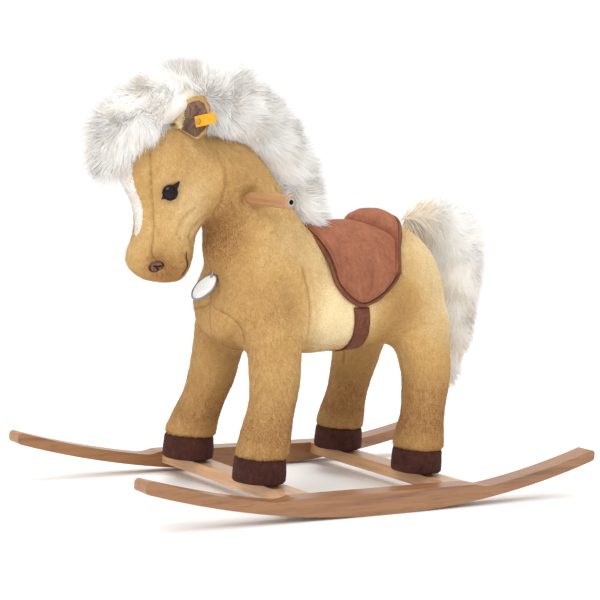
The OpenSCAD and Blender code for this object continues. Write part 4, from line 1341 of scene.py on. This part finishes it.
# ------------------------------------------------------------------ hooves
def lathe(name, profile, centre, sides, materials, bumps=0.0, seed=0):
    """A turned shape: profile of (radius, height) pairs in mm, closed on its axis."""
    profile = np.asarray(profile, float)
    angle = np.arange(sides) / sides * TURN
    ring = np.stack([np.cos(angle), np.sin(angle)], 1)
    rows = np.concatenate([profile[:, 0][:, None, None] * ring[None],
                           np.repeat(profile[:, 1][:, None, None], sides, 1)], 2).reshape(-1, 3)
    poles = np.array([[0, 0, profile[0, 1]], [0, 0, profile[-1, 1]]])
    points = np.vstack([rows, poles]) + np.array(centre, float)
    made = mesh_from(name, points, capped(len(profile), sides), materials)
    if bumps:
        push_out(made.data, bumps * swirl(points_of(made.data), 16, seed))
    return outward(made)


arc = np.radians(np.arange(-90, 1, 15))
hoof_side = ([(38.5, 43.3)] + [(38.7 + 4.6 * math.cos(a), 48 + 4.6 * math.sin(a)) for a in arc]
             + [(43.4, z) for z in (54, 60)] + [(43.0, 66), (42.6, 72), (42.3, 77)]
             + [(41.6, 80.5), (40.2, 82.4), (38.0, 83.0), (20, 83.0)])
for name, x, y in (("front_left", 107, -182), ("front_right", -107, -182), ("hind_left", 111, 143),
                   ("hind_right", -111, 143)):
    hoof = lathe(f"{name}_hoof_suede", [(20, 43.3), *hoof_side], (x, y, 0), 72, [hoof_hide],
                 0.35, x + 200)
    p = points_of(hoof.data)
    turn = np.arctan2(p[:, 1] - y, p[:, 0] - x)
    rear_seam = bell(np.angle(np.exp(1j * (turn - math.pi / 2))), 0.035) * (p[:, 2] > 50)
    push_out(hoof.data, -1.2 * rear_seam)
    write_attribute(hoof.data, "edge", np.clip(rear_seam + bell(p[:, 2] - 44, 3.0) * 0.6
                                               + bell(p[:, 2] - 83, 3.0) * 0.8, 0, 1))
    link(hoof, "horse")
    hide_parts(f"{name}_hoof")


# ------------------------------------------------------------------ face
def oval_patch(name, centre, wide, high, height, materials):
    """A patch on the face. height(r, a): how far it stands off the surface, in mm."""
    place, normal, _, _ = body_tree.find_nearest(Vector(np.array(centre, float) * MM))
    n = np.array(normal)
    up = tangent(np.array([[0, 0, 1.0]]), n[None])[0]
    across = np.cross(up, n)
    rings, sides = 22, 48
    r, a = flat_grid(np.linspace(0.02, 1, rings), np.arange(sides) / sides * TURN)
    spots = ((np.array(place) / MM)[None] + across * (r * np.cos(a) * wide)[:, None]
             + up * (r * np.sin(a) * high)[:, None])
    points = []
    for s, h in zip(spots, height(r, a)):
        on, facing, _, _ = body_tree.find_nearest(Vector(s * MM))
        points.append(np.array(on) / MM + n * h)
    points = np.array(points)
    faces = grid(rings, sides, True).tolist() + [list(range(sides))[::-1]]
    made = mesh_from(name, points, faces, materials)
    return made, r, a


for side, word in ((1, "left"), (-1, "right")):
    def slant(r, a, side=side):
        """Places in the nostril along its long way, which slants down to the back, and across."""
        across, high = -side * r * np.cos(a), r * np.sin(a)
        return 0.80 * across - 0.60 * high, 0.60 * across + 0.80 * high

    # slit: how dark the nostril is painted, as painted shade in its sunk slits and round its sunk
    # rim.
    def slit(r, a):
        far, aside = slant(r, a)
        first = bell(aside - 0.14 - 0.2 * np.sin(4 * far), 0.15) * (far < 0.35)
        second = bell(far - 0.05, 0.13) * (aside < 0.2)
        third = bell(r - 0.84, 0.13) * (0.7 - 0.3 * np.sin(a - 0.5 * side))
        return np.clip(np.maximum(np.maximum(first, 0.8 * second), third), 0, 1)

    def stand(r, a):
        far, aside = slant(r, a)
        lump = (1.5 * np.exp(-(((far - 0.5) ** 2 + aside**2) / 0.12))
                + 0.4 * np.sin(7 * far + 2) * (1 - r))
        return np.maximum(3.0 + lump - 2.2 * slit(r, a), 0.7) - 2.4 * np.clip((r - 0.86) / 0.14, 0, 1)

    nostril, r, a = oval_patch(f"{word}_nostril", (side * NOSTRIL[0], *NOSTRIL[1:]), 14.0, 12.5,
                               stand, [nose_hide])
    # The nostril's edge attribute is painted shade in its slits and round its rim.
    write_attribute(nostril.data, "edge", np.clip(2.4 * slit(r, a), 0, 1.6))
    link(nostril, "horse")

for word, path in zip(("left", "right"), mouths):
    thick = np.interp(np.linspace(0, 1, len(path)), [0, 0.2, 0.8, 1], [0.4, 0.9, 0.9, 0.3])
    link(tube_piece(f"{word}_mouth_stitch", path, thick, 8, dark_thread), "horse")


def lashes(word, side, seed):
    """Dark felt corners of the eye: a wing at the back and up, a short one at the front."""
    r = np.random.default_rng(seed)
    eye = np.array([50, -345, 496.0])
    out_of = np.array([math.cos(math.radians(28)), -math.sin(math.radians(28)), 0])
    back = np.array([math.sin(math.radians(28)), math.cos(math.radians(28)), 0])
    up = np.array([0, 0, 1.0])
    centre, halves, facing = [], [], []
    s = np.array([0, 0.35, 0.7, 1.0])

    def hair(start_angle, end_back, end_up, wide):
        a = math.radians(start_angle)
        start = eye + out_of * 1.4 + back * 10.6 * math.cos(a) + up * 10.6 * math.sin(a)
        end = eye + out_of * 1.0 + back * end_back + up * end_up
        bow = out_of * 2.2 * np.sin(np.pi * s)[:, None] * 0.6
        centre.append(start + (end - start) * s[:, None] + bow)
        halves.append(wide * (1 - 0.9 * s))
        facing.append(out_of)

    for k in range(34):
        share = k / 33
        hair(20 + 68 * share, 13.5 + 3 * r.normal() * 0.4,
             19 - 2.5 * abs(share - 0.5) + 1.0 * r.normal(), 0.75)
    for k in range(22):
        share = k / 21
        hair(192 + 48 * share, -12.5 + 0.8 * r.normal(), -10.5 + 0.8 * r.normal(), 0.7)
    for k in range(60):
        a = 6 * k
        hair(a, 12.9 * math.cos(math.radians(a + 8)), 12.9 * math.sin(math.radians(a + 8)), 0.9)
    centre, halves, facing = np.array(centre), np.array(halves), np.array(facing)
    if side < 0:
        centre = centre * [-1, 1, 1]
        facing = facing * [-1, 1, 1]
    made = ribbons(f"{word}_eye_lashes", facing, centre, halves, np.zeros(len(centre)),
                   [lash_felt])
    link(made, "horse")


lashes("left", 1, 5)
lashes("right", -1, 6)


# ------------------------------------------------------------------ ears, rivet and tags
EAR_WIDTH = ([0, 0.12, 0.3, 0.5, 0.7, 0.86, 0.96, 1.0], [20, 26, 30.5, 30.5, 25, 16.5, 8, 1.5])


def ear_face(v, u, inset):
    """Points of the cupped ear in its own frame: v up it, u across it from -1 to 1."""
    wide = np.interp(v, *EAR_WIDTH)
    curl = np.radians(98 - 18 * v) * u
    deep = 12.5 * np.interp(v, [0, 0.3, 0.7, 1], [0.85, 1.0, 0.8, 0.35])
    x = wide * np.sin(curl) * (1 - 0.05 * np.abs(u))
    y = 7.5 - 5.5 * v**2 - deep * (1 - np.cos(curl)) * 0.75
    z = 64 * v - 1.0 * np.cos(curl)
    n = np.stack([np.sin(curl), np.cos(curl) * 0.9, 0.1 + 0 * v], -1)
    return np.stack([x, y, z], -1) - unit(n) * np.reshape(inset, (-1, 1))


def ear(word, side):
    matrix = ear_matrix(side)
    rows, cols = 34, 40
    v, u = flat_grid(np.linspace(0.02, 1, rows), np.linspace(-1, 1, cols))
    thick = 3.6 * np.sqrt(np.clip(1 - np.abs(u) ** 6, 0.05, 1)) * np.clip((1.04 - v) * 6, 0.2, 1)
    front = ear_face(v, u, thick)
    back = ear_face(v, u, 0 * v)
    both = placed(np.vstack([back, front]), matrix)
    shell = mesh_from(f"{word}_ear_plush", both, shell_faces(rows, cols), [skin_tan])
    write_attribute(shell.data, "edge", np.zeros(len(both)))
    write_attribute(shell.data, "shade", np.full(len(both), 0.35))
    shell = link(outward(shell), f"{word}_ear")
    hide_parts(f"{word}_ear")
    place, normal = scatter(shell.data, 9000, 300 + side)
    local = placed(place, matrix.inverted())
    facing = normal @ np.array(matrix)[:3, :3]
    inner = ((np.array([0, -13, 0]) - local * [1, 1, 0]) * facing).sum(1) > 0
    deep = np.abs(local[:, 0]) < 0.86 * np.interp(local[:, 2] / 64, *EAR_WIDTH)
    keep = ~(inner & deep & (local[:, 2] < 54)) & (local[:, 2] > 3)
    nap = np.tile([0.1 * side, 0.1, 1.0], (keep.sum(), 1))
    pile(f"{word}_ear_pile", place[keep], normal[keep], nap, f"{word}_ear", TAN,
         4.2, 0.8, 0.4, -0.15 + 0.3 * swirl(place[keep], 15, 4), 310)
    rows, cols = 24, 26
    v, u = flat_grid(np.linspace(0.05, 0.9, rows), np.linspace(-0.82, 0.82, cols))
    u = u * np.sqrt(np.clip(1 - np.abs((v - 0.46) / 0.47) ** 3.5, 0.02, 1))
    near_side = ear_face(v, u, 4.6 + 0 * v)
    far_side = ear_face(v, u, 3.4 + 0 * v)
    both = placed(np.vstack([near_side, far_side]), matrix)
    inside = mesh_from(f"{word}_ear_velvet", both, shell_faces(rows, cols), [lining])
    # Painted shade: the lining is painted darker low in the ear's hollow and along a fold.
    fold = bell(u + 0.12 - 0.5 * (v - 0.3), 0.09) * (v < 0.72)
    write_attribute(inside.data, "edge", np.tile(np.clip(0.75 - v * 1.5 + 1.3 * fold, 0, 1), 2))
    inside = link(outward(inside), f"{word}_ear")
    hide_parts(f"{word}_ear_lining")
    r = np.random.default_rng(320 + side)
    count = 420
    v = r.uniform(0.04, 0.42, count)
    u = r.uniform(-0.98, -0.55, count)
    root = placed(ear_face(v, u, np.full(count, 3.8)), matrix)
    aim = (np.array(matrix)[:3, :3] @ np.array([0.25, -0.75, 0.6]))
    aim = np.tile(aim, (count, 1)) + 0.35 * r.normal(size=(count, 3))
    facing = unit(np.tile(np.array(matrix)[:3, :3] @ np.array([0.2, -1, 0]), (count, 1)))
    pile(f"{word}_ear_tuft", root, facing, aim, f"{word}_ear", TAN, 9.0, 0.7, 0.5,
         0.6 + 0 * v, 330)


ear("left", 1)
ear("right", -1)

tag_matrix = ear_matrix(1) @ Matrix.Translation(Vector((14, 0, 29)) * MM)
tag_matrix = tag_matrix @ Matrix.Rotation(math.radians(90), 4, "X")
tag_matrix = tag_matrix @ Matrix.Rotation(math.radians(38), 4, "Z")
rows, cols = 37, 18
x, y = flat_grid(np.linspace(-6, 30, rows), np.linspace(-8.5, 8.5, cols))
z = (8.7 + 0.5 * np.sin((x + 6) / 36 * math.pi * 1.3) * np.clip(x / 12, 0, 1)
     + 0.25 * np.sin(y / 4) * np.clip(x / 20, 0, 1))
hem = 0.12 * bell(np.minimum(8.5 - np.abs(y), 30 - x), 1.2)
points = np.concatenate([np.stack([x, y, z + 0.4 + hem], 1), np.stack([x, y, z - 0.4 - hem], 1)])
ribbon = mesh_from("ear_tag_ribbon", placed(points, tag_matrix), shell_faces(rows, cols), [tag_cloth])
ribbon = link(outward(ribbon), "ear_tag")
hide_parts("ear_tag")

disc_matrix = (Matrix.Translation(Vector((8, -226, 367)) * MM)
               @ Matrix.Rotation(math.radians(51), 4, "X")
               @ Matrix.Translation(Vector((0, -27.7, -1.2)) * MM))
face_profile = [(1, 0.15), (12, 0.15), (23.9, 0.15), (24.5, 0.6), (24.5, 2.2), (22, 2.55),
                (14, 2.8), (6, 2.95), (1, 3.0)]
disc = lathe("chest_tag_enamel", face_profile, (0, 0, 0), 72, [enamel])
disc.data.transform(disc_matrix)
link(disc, "chest_tag")
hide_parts("chest_tag")
for name, radius, rise, height, thick, count, sides in (
        ("chest_tag_rim", 25.6, 0, 1.5, 1.75, 96, 12),
        ("chest_tag_eyelet", 2.1, 20.6, 2.9, 0.7, 32, 8)):
    angle = np.arange(count) / count * TURN
    ring = np.stack([radius * np.cos(angle), rise + radius * np.sin(angle), height + 0 * angle], 1)
    link(tube_piece(name, placed(ring, disc_matrix), thick, sides, rim_metal, True), "chest_tag")


# ------------------------------------------------------------------ wood with softened edges
def softened(node, name, width, material):
    """The CAD node's own shape, with its sharp edges rounded over."""
    source = frame["nodes"][node]
    data = source.data.copy()
    b = bmesh.new()
    b.from_mesh(data)
    bmesh.ops.remove_doubles(b, verts=b.verts, dist=0.01 * MM)
    bmesh.ops.dissolve_limit(b, angle_limit=math.radians(0.6), verts=b.verts, edges=b.edges)
    b.to_mesh(data)
    b.free()
    data.materials.clear()
    data.materials.append(material)
    ob = bpy.data.objects.new(name, data)
    bpy.context.scene.collection.objects.link(ob)
    modified(ob, "BEVEL", width=width * MM, segments=3, limit_method="ANGLE",
             angle_limit=math.radians(42), use_clamp_overlap=True)
    ob.data.polygons.foreach_set("use_smooth", [True] * len(ob.data.polygons))
    modified(ob, "WEIGHTED_NORMAL", keep_sharp=True)
    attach(ob, "horse")
    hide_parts(node)


softened("rocker_left", "left_rocker_rounded", 3.0, wood_y)
softened("rocker_right", "right_rocker_rounded", 3.0, wood_y)
softened("front_slat", "front_slat_rounded", 2.0, wood_x)
softened("rear_slat", "rear_slat_rounded", 2.0, wood_x)

CAD_FINISH = {
    "rocker_left": wood_y, "rocker_right": wood_y, "front_slat": wood_x, "rear_slat": wood_x,
    "slat_dowels": dowel_wood, "leg_bolts": zinc, "leg_washers": zinc, "felt_pads": black_felt,
    "foot_plates": steel, "front_leg_frame": steel, "hind_leg_frame": steel, "spine_tube": steel,
    "neck_tube": steel, "handle_socket": steel, "handle_rod": rod_metal, "left_grip": wood_grip,
    "right_grip": wood_grip, "grip_sleeve_nuts": nut_metal, "seat_board": plywood,
    "seat_board_screws": zinc, "ear_rivet": brass, "left_eye": eye_glass, "right_eye": eye_glass,
    "eye_washers": washer_plastic, "chest_tag_loop": thread, "torso_filling": stuffing,
    "neck_filling": stuffing, "head_filling": stuffing, "leg_fillings": stuffing}
for node, ob in frame["nodes"].items():
    finish = CAD_FINISH.get(node, skin_tan)
    for s in ob.material_slots:
        s.material = finish


# ------------------------------------------------------------------ studio
def stage():
    size = 9.0
    floor = mesh_from("floor", np.array([[-size, -size, 0], [size, -size, 0], [size, size, 0],
                                         [-size, size, 0]]) / MM, [[0, 1, 2, 3]], [])
    f = Finish("paper_floor", 0.9, Specular_IOR_Level=0.05)
    f.colour(f.ramp(f.noise(f.place(), 3, 2), [(0.3, (0.955, 0.955, 0.955, 1)),
                                               (0.7, (0.965, 0.965, 0.965, 1))]))
    floor.data.materials.append(f.material)
    bpy.context.scene.collection.objects.link(floor)
    u, v = flat_grid(np.linspace(-1, 1, 25) * math.pi / 2, np.arange(48) / 48 * TURN)
    u = np.clip(u, -1.5, 1.5)
    ball = np.stack([np.cos(u) * np.cos(v), np.cos(u) * np.sin(v), np.sin(u)], 1)
    dome = mesh_from("backdrop", 8500 * ball, grid(25, 48, True), [])
    f = Finish("backdrop_paper", 1.0, Emission_Strength=1.0)
    f.set("Base Color", (0, 0, 0, 1))
    f.set("Emission Color", (1, 1, 1, 1))
    dome.data.materials.append(f.material)
    bpy.context.scene.collection.objects.link(dome)
    for sight in ("diffuse", "glossy", "transmission", "volume_scatter", "shadow"):
        setattr(dome, f"visible_{sight}", False)
    world = bpy.data.worlds.new("world")
    world.use_nodes = True
    world.node_tree.nodes["Background"].inputs["Color"].default_value = (1, 1, 1, 1)
    world.node_tree.nodes["Background"].inputs["Strength"].default_value = 1.06
    bpy.context.scene.world = world
    bpy.context.scene.view_settings.view_transform = "Standard"
    lamp("key", "AREA", (1.6, -2.6, 2.6), (0, 0, 0.35), 55, 1.6, (1.0, 0.985, 0.96))
    lamp("top", "AREA", (-0.5, 0.3, 2.9), (0, 0, 0.3), 30, 2.2)


stage()
